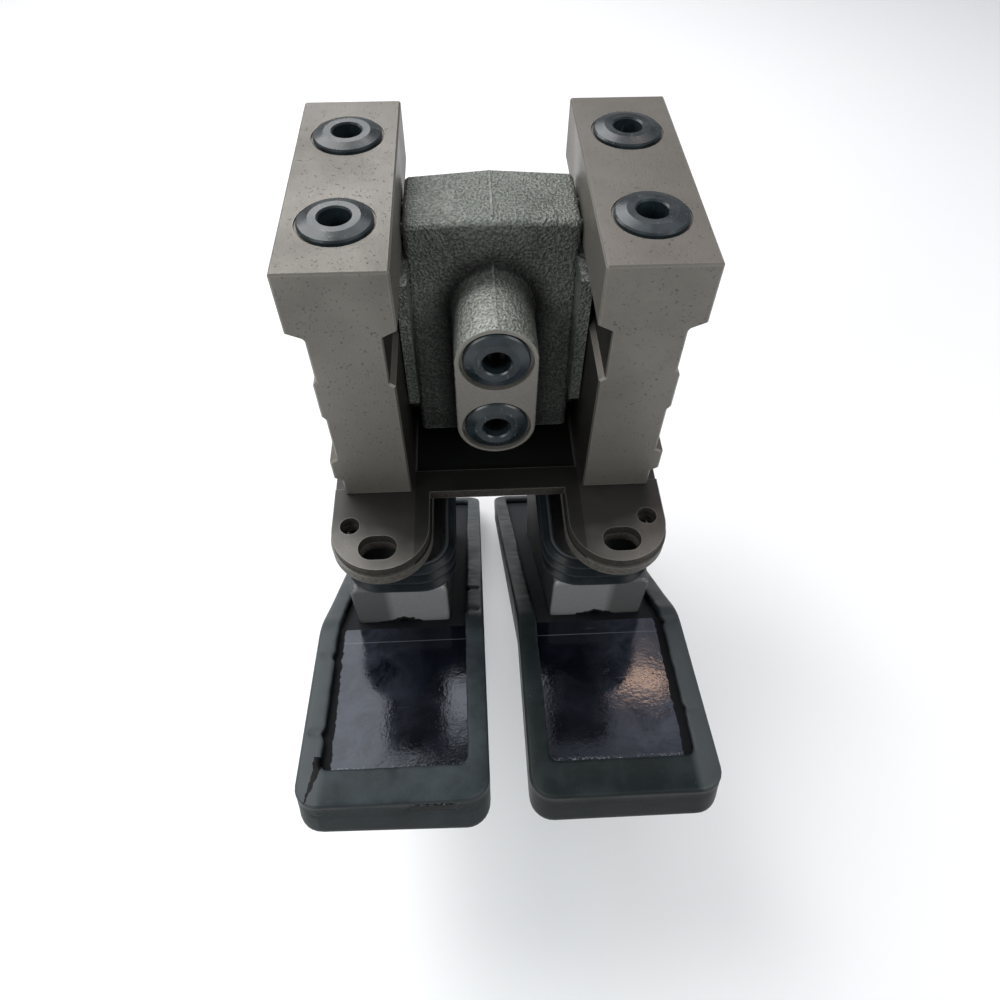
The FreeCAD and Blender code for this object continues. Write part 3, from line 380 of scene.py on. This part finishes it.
def painted_front_shade(shader, colour):
    """Painted shade round the boss's root and on the casting's front under its top edge."""
    above = shader.math("MAXIMUM", shader.math("SUBTRACT", shader.axis("Z"), UPPER_PORT), 0.0)
    reach = from_port(shader, above)
    root = shader.times(shader.ramp(reach, *BOSS_ROOT), shader.ramp(reach, *BOSS_WALL))
    inner = shader.times(root, shader.ramp(shader.axis("Y"), *ROOT_BACK))
    fillet = shader.times(inner, shader.ramp(shader.axis("Z"), *UNDER_BROW))
    colour = shader.darken(fillet, colour, 0.15)
    upright = shader.ramp(shader.facing("Z"), 0.35, 0.15)
    return shader.darken(shader.times(upright, shader.ramp(shader.axis("Z"), *BROW_SHADE)), colour, 0.66)


def painted_crest_highlight(shader, colour, lumps):
    """Painted highlight: the boss's crest lightened, more on one side of the parting line, and a light line
    along the parting line itself.
    """
    upward = shader.ramp(shader.facing("Z"), 0.3, 0.6)
    on_boss = shader.times(shader.ramp(shader.axis("Y"), *CREST_OUT), upward)
    round_crest = shader.times(shader.ramp(shader.axis("X"), *CREST_SIDE), 0.75)
    past_line = shader.times(shader.ramp(shader.axis("X"), *PARTING_STEP), 0.4)
    lightened = shader.times(on_boss, shader.math("ADD", round_crest, past_line))
    colour = shader.mix(shader.times(lightened, shader.blend(lumps, 0.22, 0.72)), colour, (0.52, 0.53, 0.49))
    line = shader.times(shader.math("LESS_THAN", shader.away("X"), PARTING_LINE), upward)
    return shader.mix(shader.times(line, 0.35), colour, (0.36, 0.37, 0.34))


def cast_iron():
    """The manifold: sand-cast skin, with the boss face and its spotfaces machined."""
    shader = Shader("cast_iron", roughness=0.55, metallic=0.5)
    cloud = shader.ramp(shader.noise(45, detail=4), 0.35, 0.65)
    grain = shader.noise(950, detail=2, rough=0.5)
    lumps = shader.ramp(grain, 0.40, 0.62)
    colour = shader.mix(cloud, (0.085, 0.094, 0.082), (0.125, 0.134, 0.120))
    colour = shader.mix(shader.times(lumps, 0.6), colour, (0.31, 0.325, 0.295))
    colour = painted_crest_highlight(shader, painted_front_shade(shader, colour), lumps)
    speck = shader.ramp(shader.noise(1300, detail=2), 0.35, 0.65)
    smooth = shader.mix(shader.times(speck, 0.35), (0.20, 0.19, 0.168), (0.12, 0.11, 0.096))
    machined = machined_boss(shader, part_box("centre_manifold")[0][1])
    rough = shader.math("SUBTRACT", 1.0, shader.times(machined, 0.93))
    shader.bump(grain, 1.3 * MM, rough)
    shader.bump(shader.noise(260, detail=2), 0.8 * MM, shader.times(rough, 0.6))
    return shader.finish(shader.mix(machined, colour, smooth), shader.blend(machined, 0.56, 0.42))


def plate_iron(name, edge_light):
    """Flange and cover plates: ground faces, painted shade near the blocks, and rough, rusty-grey cast edges.
    """
    shader = Shader(name, roughness=0.5, metallic=0.45)
    flat = shader.ramp(shader.faces("Z"), 0.90, 0.97)
    cloud = shader.ramp(shader.noise(40, detail=4), 0.35, 0.65)
    grain = shader.noise(800, detail=3, rough=0.6)
    face = shader.mix(cloud, (0.125, 0.117, 0.105), (0.185, 0.173, 0.157))
    # Painted shade: the ground faces darken towards the blocks, with a wobbly edge.
    shade_wobble = shader.times(shader.noise(60, detail=4), 16 * MM)
    outward = shader.math("ADD", shader.times(shader.away("X"), 0.3), shader.away("Y"))
    reach = shader.math("SUBTRACT", outward, shade_wobble)
    face = shader.darken(shader.ramp(reach, *EAR_SHADE), face, 0.16)
    edge = shader.mix(shader.ramp(grain, 0.35, 0.65), tuple(0.55 * c for c in edge_light), edge_light)
    colour = shader.mix(flat, edge, face)
    pits = shader.ramp(shader.noise(950, detail=1, rough=0.3, shift=(1, 5, 2)), 0.70, 0.75)
    colour = shader.mix(shader.times(pits, 0.7), colour, (0.04, 0.036, 0.03))
    # Painted shade: the flat faces between the blocks are darkened and the pocket's floor there is near
    # black, where shade falls under the casting.
    sunk = shader.times(shader.math("LESS_THAN", shader.axis("Z"), POCKET_FLOOR), flat)
    between = shader.math("LESS_THAN", shader.away("X"), BETWEEN_BLOCKS)
    colour = shader.darken(shader.times(between, flat), colour, 0.45)
    colour = shader.mix(shader.times(sunk, between), colour, (0.008, 0.008, 0.008))
    colour = shader.mix(shader.times(shader.edges(), 0.45), colour, (0.30, 0.285, 0.25))
    shader.bump(grain, 0.6 * MM, shader.math("SUBTRACT", 1.0, shader.times(flat, 0.92)))
    return shader.finish(colour, shader.blend(flat, 0.62, 0.45))


def plug_plastic():
    """Moulded black plastic with a faint bloom and handling marks, and painted shade in the supply plugs'
    sockets.
    """
    shader = Shader("plug_plastic", roughness=0.32)
    bloom = shader.ramp(shader.noise(120, detail=4), 0.40, 0.75)
    colour = shader.mix(bloom, (0.007, 0.011, 0.013), (0.020, 0.031, 0.036))
    scuff = shader.ramp(shader.noise(600, detail=2, stretch=(1, 1, 0.3)), 0.66, 0.72)
    colour = shader.mix(shader.times(scuff, 0.5), colour, (0.09, 0.115, 0.125))
    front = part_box("supply_port_plugs")[0][1]
    # Painted shade: darker deeper into the supply plugs' sockets.
    socket = shader.ramp(shader.axis("Y"), front + SOCKET_DEPTH[0], front + SOCKET_DEPTH[1])
    supply = shader.math("LESS_THAN", shader.away("X"), SUPPLY_REACH)
    colour = shader.darken(shader.times(socket, supply), colour, 0.1)
    shader.bump(shader.noise(900, detail=2), 0.03 * MM, 0.5)
    return shader.finish(colour, shader.blend(bloom, 0.24, 0.40))


def torn_corner(shader, colour):
    """A widening tear across the left boot's outer heel corner, painted near black as the shade inside it."""
    along = shader.ramp(shader.axis("Y"), *TEAR_ALONG)
    middle = shader.math("ADD", shader.times(along, TEAR_LEAN), TEAR_ACROSS)
    ragged = shader.times(shader.noise(330, detail=4, rough=0.7), 3.0 * MM)
    off = shader.math("SUBTRACT", shader.math("ADD", shader.axis("X"), ragged), middle)
    inside = shader.math("LESS_THAN", shader.math("ABSOLUTE", off), shader.times(along, TEAR_WIDE))
    torn = shader.times(inside, along)
    torn = shader.times(shader.ramp(torn, 0.02, 0.2), shader.math("LESS_THAN", shader.axis("Y"), TEAR_END))
    return shader.mix(torn, colour, (0.001, 0.0012, 0.001))


def black_rubber(name, base, bloom_colour, low_rough, high_rough, dusty=0.35, torn=False):
    """Moulded rubber with a bloom, painted shade on what doesn't face up, fine grain and scuffed edges."""
    shader = Shader(name, roughness=0.5, Specular_IOR_Level=0.12)
    bloom = shader.ramp(shader.noise(55, detail=6, rough=0.62), 0.40, 0.72)
    colour = shader.mix(bloom, base, bloom_colour)
    # Painted shade: faces that don't face up are darkened, so walls read darker than the lit tops.
    upright = shader.ramp(shader.facing("Z"), 0.75, 0.35)
    colour = shader.darken(upright, colour, 0.4)
    outer_lip = shader.ramp(shader.away("X"), *OUTER_LIP)
    lightened = shader.times(shader.math("SUBTRACT", outer_lip, upright), 0.45)
    colour = shader.mix(lightened, colour, (0.105, 0.115, 0.122))
    dust = shader.ramp(shader.noise(900, detail=3, rough=0.7, shift=(4, 4, 1)), 0.69, 0.74)
    colour = shader.mix(shader.times(dust, dusty), colour, (0.16, 0.17, 0.17))
    colour = shader.mix(shader.times(shader.crests(), 0.35), colour, (0.14, 0.15, 0.155))
    if torn:
        colour = torn_corner(shader, colour)
    shader.bump(shader.noise(700, detail=3), 0.10 * MM, 0.6)
    shader.bump(shader.noise(90, detail=3), 0.5 * MM, 0.35)
    return shader.finish(colour, shader.blend(bloom, low_rough, high_rough))


def plate_paint():
    """The pedal plate: black gloss with orange peel, wipe marks and fine scratches on the heel part.

    Its toe part beside the bracket is dusty and dull, a folded crease crosses it between the two, marked by a
    thin painted highlight, dried film spreads outward, paint flakes at the heel's lip, and a ragged band of
    painted shade, for the gap under the lip, runs along the outer lip."""
    shader = Shader("plate_paint", roughness=0.05, Specular_IOR_Level=0.34,
                    Specular_Tint=(0.84, 0.90, 1.0, 1))
    wipe = shader.ramp(shader.noise(38, detail=6, rough=0.6, distortion=0.6), 0.38, 0.72)
    colour = shader.mix(wipe, (0.002, 0.0023, 0.004), (0.007, 0.008, 0.014))
    scratch = shader.ramp(shader.noise(420, detail=1, stretch=(0.08, 1, 1), shift=(2, 0, 1)), 0.75, 0.79)
    colour = shader.mix(shader.times(scratch, 0.35), colour, (0.10, 0.11, 0.13))
    shader.bump(shader.noise(160, detail=2), 0.10 * MM, 0.35)
    shader.bump(shader.noise(750, detail=3), 0.05 * MM, 0.5)
    shader.bump(scratch, 0.02 * MM, 0.4)
    outer = shader.ramp(shader.away("X"), *FILM_OUT)
    film = shader.ramp(shader.noise(65, detail=9, rough=0.72, distortion=0.7, shift=(5, 2, 7)), 0.36, 0.64)
    colour = shader.mix(shader.times(film, outer), colour, (0.030, 0.034, 0.046))
    heel = shader.ramp(shader.times(shader.facing("Y"), -1), -0.45, -0.30)
    dusty = shader.math("SUBTRACT", 1.0, heel)
    colour = shader.mix(dusty, colour, (0.007, 0.008, 0.009))
    path = PedalPath("left_pedal_pad")
    crease_at = path.spot(CREASE_ALONG, 0, 0).y
    off_crease = shader.math("ABSOLUTE", shader.math("SUBTRACT", shader.axis("Y"), crease_at))
    # Painted highlight: a thin light line along the crease on the heel part, where light catches the bend.
    crease = shader.times(shader.math("LESS_THAN", off_crease, CREASE_WIDE), heel)
    colour = shader.mix(shader.times(crease, 0.6), colour, (0.10, 0.105, 0.12))
    lip_at = path.spot(LIP_END + LEFT_RIM_BACK, 0, 0).y
    by_lip = shader.ramp(shader.axis("Y"), lip_at + FLAKES_LONG, lip_at)
    flakes = shader.ramp(shader.noise(1300, detail=3, rough=0.7, shift=(9, 1, 4)), 0.53, 0.60)
    colour = shader.mix(shader.times(by_lip, flakes), colour, (0.16, 0.175, 0.18))
    # Painted shade: a ragged near-black band along the outer lip, for the shadow in the gap between lip and
    # plate.
    ragged = shader.times(shader.noise(260, detail=3, shift=(1, 2, 3)), 2.4 * MM)
    gap_shade = shader.math("GREATER_THAN", shader.math("ADD", shader.away("X"), ragged), PLATE_GAP_SHADE)
    colour = shader.mix(gap_shade, colour, (0.001, 0.001, 0.001))
    rough = shader.blend(wipe, 0.05, 0.15)
    return shader.finish(colour, shader.blend(shader.math("MAXIMUM", dusty, gap_shade), rough, 0.8))


def bracket_paint():
    """The bracket: satin grey web with an oily foot and a shaded outer third, and painted shade on its sides.
    """
    shader = Shader("bracket_paint", roughness=0.34)
    grain = shader.ramp(shader.noise(900, detail=2), 0.3, 0.7)
    colour = shader.mix(grain, (0.195, 0.200, 0.198), (0.232, 0.237, 0.233))
    colour = shader.darken(shader.ramp(shader.away("X"), *BRACKET_SHADE), colour, 0.45)
    # Painted shade: faces turned sideways are near black.
    shaded_sides = shader.ramp(shader.faces("X"), 0.5, 0.9)
    colour = shader.mix(shaded_sides, colour, (0.010, 0.011, 0.012))
    low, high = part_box("left_pedal_bracket")
    across = shader.math("ABSOLUTE", shader.math("ADD", shader.away("X"), (low[0] + high[0]) / 2))
    path = PedalPath("left_pedal_pad")
    foot = path.spot(path.first + path.arc, 0, LIP_THICK).z
    rise = shader.math("SUBTRACT", shader.axis("Z"), foot)
    ragged = shader.times(shader.noise(330, detail=3), 7 * MM)
    stain = shader.math("ADD", shader.math("ADD", shader.times(across, 0.45), rise), ragged)
    dark_patch = shader.ramp(stain, *STAIN_EDGE)
    colour = shader.mix(dark_patch, colour, (0.003, 0.003, 0.003))
    shader.bump(grain, 0.02 * MM, 0.5)
    return shader.finish(colour, shader.blend(shader.math("MAXIMUM", shaded_sides, dark_patch), 0.34, 0.6))


def plain_metal(name, colour, roughness, metallic=1.0):
    """Ground, drawn or blackened steel and bronze, with a brushed grain."""
    shader = Shader(name, roughness=roughness, metallic=metallic)
    grain = shader.ramp(shader.noise(700, detail=2, stretch=(1, 1, 0.1)), 0.35, 0.65)
    tone = shader.mix(grain, tuple(0.82 * c for c in colour), colour)
    shader.bump(grain, 0.02 * MM, 0.5)
    return shader.finish(tone, shader.blend(grain, roughness * 0.85, roughness * 1.15))


# ---- soft pieces ------------------------------------------------------------------------

def mesh_piece(name, points, faces, material):
    mesh = bpy.data.meshes.new(name)
    mesh.from_pydata([tuple(point) for point in points], [], faces)
    shape = bmesh.new()
    shape.from_mesh(mesh)
    bmesh.ops.recalc_face_normals(shape, faces=shape.faces)
    shape.to_mesh(mesh)
    shape.free()
    mesh.shade_smooth()
    mesh.materials.append(material)
    piece = bpy.data.objects.new(name, mesh)
    bpy.context.collection.objects.link(piece)
    return piece


def bridge(rings, closed=False):
    """Quads between successive rings of equal length."""
    count = len(rings[0])
    pairs = list(zip(rings, rings[1:]))
    if closed:
        pairs.append((rings[-1], rings[0]))
    return [(low[i], low[(i + 1) % count], high[(i + 1) % count], high[i])
            for low, high in pairs for i in range(count)]


def cap(ring):
    """Faces across a ring that starts on its line of symmetry."""
    count = len(ring)
    quads = [(ring[k], ring[k + 1], ring[-k - 1], ring[-k % count]) for k in range(count // 2)]
    corners = [tuple(dict.fromkeys(quad)) for quad in quads]
    return [face for face in corners if len(face) > 2]


# The pedal's side view: the rim runs straight from the heel, bends over and runs on to the toe.
HEEL_SLOPE = math.radians(6.6)
TOE_SLOPE = math.radians(39.0)
HEEL_LONG = 89.0 * MM
TOE_LONG = 232.0 * MM
PAD_THICK = 18.0 * MM
BEND_RADIUS = 24.0 * MM
LIP_SIDE = 9.0 * MM
LIP_END = 16.0 * MM
LIP_THICK = 4.0 * MM
LIP_CORNER = 4.0 * MM
PAD_CORNER = 10.0 * MM
LEAST_CORNER = 3.0 * MM
CREASE_ALONG = 80.0 * MM

# How finely the rings are divided.
HEEL_STEPS = 24
CORNER_STEPS = 7
SIDE_STEPS = 150
TOE_STEPS = 5
SIDE_ENDS = 24 * MM

# How the boots sit: the sole pushed out past the heel and the outer side spread, fading along the pad.
SOLE_OUT = 0.8 * MM
SOLE_OUT_LONG = 60 * MM
SPREAD = 2.2 * MM
SPREAD_LONG = 110 * MM
LEFT_RIM_BACK = 3.6 * MM
RIGHT_RIM_BACK = 2.8 * MM
LEFT_LEAN = 0.8 * MM
RIGHT_LEAN = -4.0 * MM
LEFT_SOLE_SLANT = 1.6 * MM
LEFT_SPLIT = (6 * MM, 24 * MM)
SPLIT_DEPTHS = (3.2 * MM, 5.4 * MM)
SPLIT_RAGGED = (2.3 * MM, 6.6 * MM)
SPLIT_IN = 4 * MM
# Torn places of the lips: distance from the heel, side, half length.
LEFT_NICKS = ((33 * MM, -1, 3 * MM), (72 * MM, -1, 2.5 * MM), (101 * MM, 1, 4 * MM),
              (128 * MM, 1, 3 * MM))
RIGHT_NICKS = ((38 * MM, 1, 2.5 * MM), (84 * MM, 1, 2.5 * MM))

# Rings round the boot's section, each an inset and a depth below the rim in millimetres: the outside from
# the sole up, inset from the outer edge, then the lip in to the plate, set back from its inner edge.
OUTSIDE = ((6.0, 18.0), (2.4, 18.0), (0.9, 17.5), (0.2, 16.4), (0.0, 14.8), (0.1, 9.0), (0.0, 7.0),
           (0.0, 6.4), (0.0, 5.0), (0.0, 3.4), (0.0, 2.6), (0.0, 2.0), (0.15, 1.2), (0.6, 0.35), (1.6, 0.0))
LIP = ((5.2, 0.1), (1.5, 0.05), (0.5, 0.3), (0.05, 0.9), (0.0, 2.3), (0.2, 3.5), (3.0, 3.7), (3.6, 4.9))


class PedalPath:
    """Turns (along, across, depth) on the unrolled pad into a place in the model's frame."""

    def __init__(self, node):
        low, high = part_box(node)
        self.middle = (low[0] + high[0]) / 2
        self.wide = high[0] - low[0]
        self.start = Vector((0, low[1] + PAD_THICK * math.sin(HEEL_SLOPE), high[2]))
        turn = TOE_SLOPE - HEEL_SLOPE
        cut = BEND_RADIUS * math.tan(turn / 2)
        self.first = HEEL_LONG - cut
        self.arc = BEND_RADIUS * turn
        self.long = self.first + self.arc + TOE_LONG - cut

    def direction(self, slope):
        return Vector((0, math.cos(slope), -math.sin(slope)))

    def down(self, slope):
        return Vector((0, -math.sin(slope), -math.cos(slope)))

    def spot(self, along, across, depth):
        if along <= self.first:
            slope = HEEL_SLOPE
            place = self.start + along * self.direction(slope)
        else:
            slope = HEEL_SLOPE + min(along - self.first, self.arc) / BEND_RADIUS
            bend_start = self.start + self.first * self.direction(HEEL_SLOPE)
            place = bend_start + BEND_RADIUS * (self.down(HEEL_SLOPE) - self.down(slope))
            place += max(along - self.first - self.arc, 0) * self.direction(slope)
        place = place + depth * self.down(slope)
        place.x = self.middle + across
        return place


def half_outline(path, side_inset, heel_inset, radius):
    """Half of a rounded rectangle on the unrolled pad, from the heel's middle to the toe's middle."""
    edge = path.wide / 2 - side_inset
    toe = path.long - side_inset
    turns = [math.pi / 2 * k / CORNER_STEPS for k in range(CORNER_STEPS + 1)]
    side_long = path.long - 2 * SIDE_ENDS
    points = [(heel_inset, (edge - radius) * k / HEEL_STEPS) for k in range(HEEL_STEPS)]
    points += [(heel_inset + radius - radius * math.cos(a), edge - radius + radius * math.sin(a))
               for a in turns]
    points += [(SIDE_ENDS + side_long * k / SIDE_STEPS, edge) for k in range(SIDE_STEPS + 1)]
    points += [(toe - radius + radius * math.sin(a), edge - radius + radius * math.cos(a)) for a in turns]
    points += [(toe, (edge - radius) * k / TOE_STEPS) for k in range(TOE_STEPS - 1, -1, -1)]
    return points


def ring_outline(path, on_lip, inset):
    """The whole ring for an inset, whose second half mirrors the first."""
    if on_lip:
        half = half_outline(path, LIP_SIDE - inset, LIP_END - inset, LIP_CORNER)
    else:
        half = half_outline(path, inset, inset, max(PAD_CORNER - inset, LEAST_CORNER))
    return half + [(along, -across) for along, across in half[-2:0:-1]]


def nick(along, across, nicks):
    """How much the lip is torn back at a place, from 0 to 1."""
    return max((max(0.0, 1 - abs(along - at) / long) for at, side, long in nicks if side * across > 0),
               default=0.0)


def split(across, depth, ends):
    """How far a tear in the heel's wall reaches in, from 0 to 1, between two places across it."""
    if not SPLIT_DEPTHS[0] < depth < SPLIT_DEPTHS[1]:
        return 0.0
    middle, reach = (ends[0] + ends[1]) / 2, (ends[1] - ends[0]) / 2
    return max(0.0, 1 - abs(across - middle) / reach) ** 0.4


def waviness(seed, on_lip, torn):
    """How far a worn edge is pulled outwards, and how far it is lifted."""
    if on_lip:
        sway = noise.noise(seed) * 0.55 * MM
        fine = noise.noise(seed * 4.0) * 0.32 * MM
        return sway + fine + torn * 1.4 * MM, fine - torn * 0.8 * MM
    return 0.0, noise.noise(seed) * 0.28 * MM * 0.4


def make_pad(side, material, nicks, skew, rim_back, slant=0.0, tear=None):
    """The rubber boot: a thick sole whose rim wraps over the plate, a little wavy, torn and off centre.

    skew leans the toe end sideways, rim_back sets the heel's rim behind its sole, slant pushes one end of the
    sole out, and tear is where the heel's wall has split."""
    sign = SIDES[side]
    path = PedalPath(f"{side}_pedal_pad")
    points = []
    rings = []
    inside = set()
    section = [(False, ring) for ring in OUTSIDE] + [(True, ring) for ring in LIP]
    for on_lip, ring in section:
        inset, depth = ring[0] * MM, ring[1] * MM
        indices = []
        for along, across in ring_outline(path, on_lip, inset):
            seed = Vector((along * 60, across * 60, depth * 90 + sign * 7))
            pull, lift = waviness(seed, on_lip, nick(along, across, nicks))
            shift = math.copysign(pull, across) if abs(across) > path.wide * 0.3 else 0.0
            sunk = depth if depth > 3 * MM and on_lip else depth - lift
            lean = skew * max(0.0, along - HEEL_LONG) / (path.long - HEEL_LONG)
            height = min(1.0, (PAD_THICK - depth) / (PAD_THICK - LIP_THICK))
            pushed = (1 - height) * (SOLE_OUT + slant * (across / path.wide + 0.5)) - height * rim_back
            pushed *= max(0.0, 1 - along / SOLE_OUT_LONG)
            outward = max(0.0, sign * across * 2 / path.wide)
            spread = sign * SPREAD * outward * max(0.0, 1 - along / SPREAD_LONG)
            on_heel_wall = along < 0.5 * MM and not on_lip
            if tear and on_heel_wall:
                opening = split(across, depth, tear)
                pushed -= opening * SPLIT_IN
                if opening:
                    inside.add(len(points))
                if SPLIT_RAGGED[0] < depth < SPLIT_RAGGED[1]:
                    sunk += noise.noise(Vector((across * 900, depth * 300, 5))) * 0.9 * MM
            indices.append(len(points))
            points.append(path.spot(along - pushed, across + shift + lean + spread, sunk))
        rings.append(indices)
    faces = bridge(rings) + cap(rings[0]) + cap(rings[-1])
    pad = mesh_piece(f"{side}_rubber_boot", points, faces, material)
    # Painted shade: faces inside the heel's split get the darker seal rubber, standing for the shade inside
    # the tear.
    if tear:
        pad.data.materials.append(bpy.data.materials["seal_rubber"])
        for face in pad.data.polygons:
            face.material_index = int(not inside.isdisjoint(face.vertices))
    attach(pad, f"{side}_pedal")
    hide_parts(f"{side}_pedal_pad")


def rounded_ring(middle, half_x, half_y, corner, height):
    """Points round a rounded rectangle in a level plane."""
    centres = [(middle + sx * (half_x - corner), sy * (half_y - corner))
               for sx, sy in ((1, 1), (-1, 1), (-1, -1), (1, -1))]

    def on_corner(quarter, angle):
        x, y = centres[quarter % 4]
        return Vector((x + corner * math.cos(angle), y + corner * math.sin(angle), height))

    points = []
    for quarter in range(4):
        angles = [math.pi / 2 * (quarter + k / 9) for k in range(10)]
        points += [on_corner(quarter, angle) for angle in angles]
        straight = points[-1]
        following = on_corner(quarter + 1, angles[-1])
        steps = 12 if quarter % 2 else 5
        points += [straight.lerp(following, k / steps) for k in range(1, steps)]
    return points


FOLDS = 3
FOLD_DEPTH = 3.0 * MM
RUBBER_WALL = 1.5 * MM
BELLOWS_CORNER = 16.0 * MM
BELLOWS_STEPS = 36


def make_bellows(side, material):
    """Moulded bellows: three rounded folds on a rounded-rectangle plan."""
    low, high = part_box(f"{side}_bellows")
    middle = (low[0] + high[0]) / 2
    half_x = (high[0] - low[0]) / 2
    half_y = (high[1] - low[1]) / 2
    points = []
    outer = []
    inner = []
    for k in range(BELLOWS_STEPS + 1):
        part = k / BELLOWS_STEPS
        height = high[2] + (low[2] - high[2]) * part
        inset = FOLD_DEPTH * abs(math.cos(FOLDS * math.pi * part)) ** 1.3
        for wall, rings in ((inset, outer), (inset + RUBBER_WALL, inner)):
            ring = rounded_ring(middle, half_x - wall, half_y - wall, BELLOWS_CORNER - wall, height)
            rings.append(list(range(len(points), len(points) + len(ring))))
            points += ring
    faces = bridge(outer + inner[::-1], closed=True)
    for i, point in enumerate(points):
        sway = noise.noise(point * 55) * 0.3 * MM
        points[i] = point + Vector((sway, -sway, 0))
    piece = mesh_piece(f"{side}_rubber_bellows", points, faces, material)
    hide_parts(f"{side}_bellows")
    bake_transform(piece)


# ---- dressing the CAD nodes -------------------------------------------------------------

def dress(material, *endings):
    """Give a material to every CAD node whose name ends so."""
    for node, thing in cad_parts.items():
        if node.endswith(endings):
            for slot in thing.material_slots:
                slot.material = material


def dress_frame():
    dress(machined_iron(), "valve_block")
    dress(cast_iron(), "centre_manifold")
    dress(plate_iron("flange_iron", (0.045, 0.040, 0.033)), "flange_plate")
    dress(plate_iron("cover_iron", (0.135, 0.125, 0.110)), "cover_plate")
    dress(plug_plastic(), "port_plugs")
    dress(plate_paint(), "pedal_plate")
    dress(bracket_paint(), "pedal_bracket")
    dress(plain_metal("bright_steel", (0.56, 0.56, 0.54), 0.28), "_cam", "cam_shaft", "push_rod",
          "spring_seat", "_spool", "rod_guide")
    dress(plain_metal("spring_wire", (0.42, 0.42, 0.41), 0.35), "_spring")
    dress(plain_metal("black_oxide", (0.07, 0.07, 0.068), 0.42, 0.8), "tie_bolts", "tie_bolt_nuts",
          "tie_bolt_washers", "screws", "cam_bolts", "plate_bolts")
    dress(plain_metal("bronze", (0.50, 0.34, 0.16), 0.4), "bushes")
    dress(black_rubber("seal_rubber", (0.012, 0.012, 0.012), (0.02, 0.02, 0.02), 0.4, 0.5), "seals", "rings")


# ---- the scene --------------------------------------------------------------------------

make_camera()
make_studio()
dress_frame()
# Painted light: the left boot's rubber is a lit copy and the right's a shaded copy of one rubber, as light
# falls from the left.
boot_rubber = black_rubber("boot_rubber", (0.022, 0.029, 0.031), (0.044, 0.055, 0.060), 0.38, 0.56, torn=True)
shaded_rubber = black_rubber("shaded_boot_rubber", (0.009, 0.0135, 0.0140), (0.019, 0.026, 0.027), 0.38, 0.56)
bellows_rubber = black_rubber("bellows_skin", (0.006, 0.008, 0.010), (0.014, 0.018, 0.021), 0.30, 0.42, 0.2)
make_pad("left", boot_rubber, LEFT_NICKS, LEFT_LEAN, LEFT_RIM_BACK, slant=LEFT_SOLE_SLANT, tear=LEFT_SPLIT)
make_pad("right", shaded_rubber, RIGHT_NICKS, RIGHT_LEAN, RIGHT_RIM_BACK)
for pedal_side in SIDES:
    make_bellows(pedal_side, bellows_rubber)
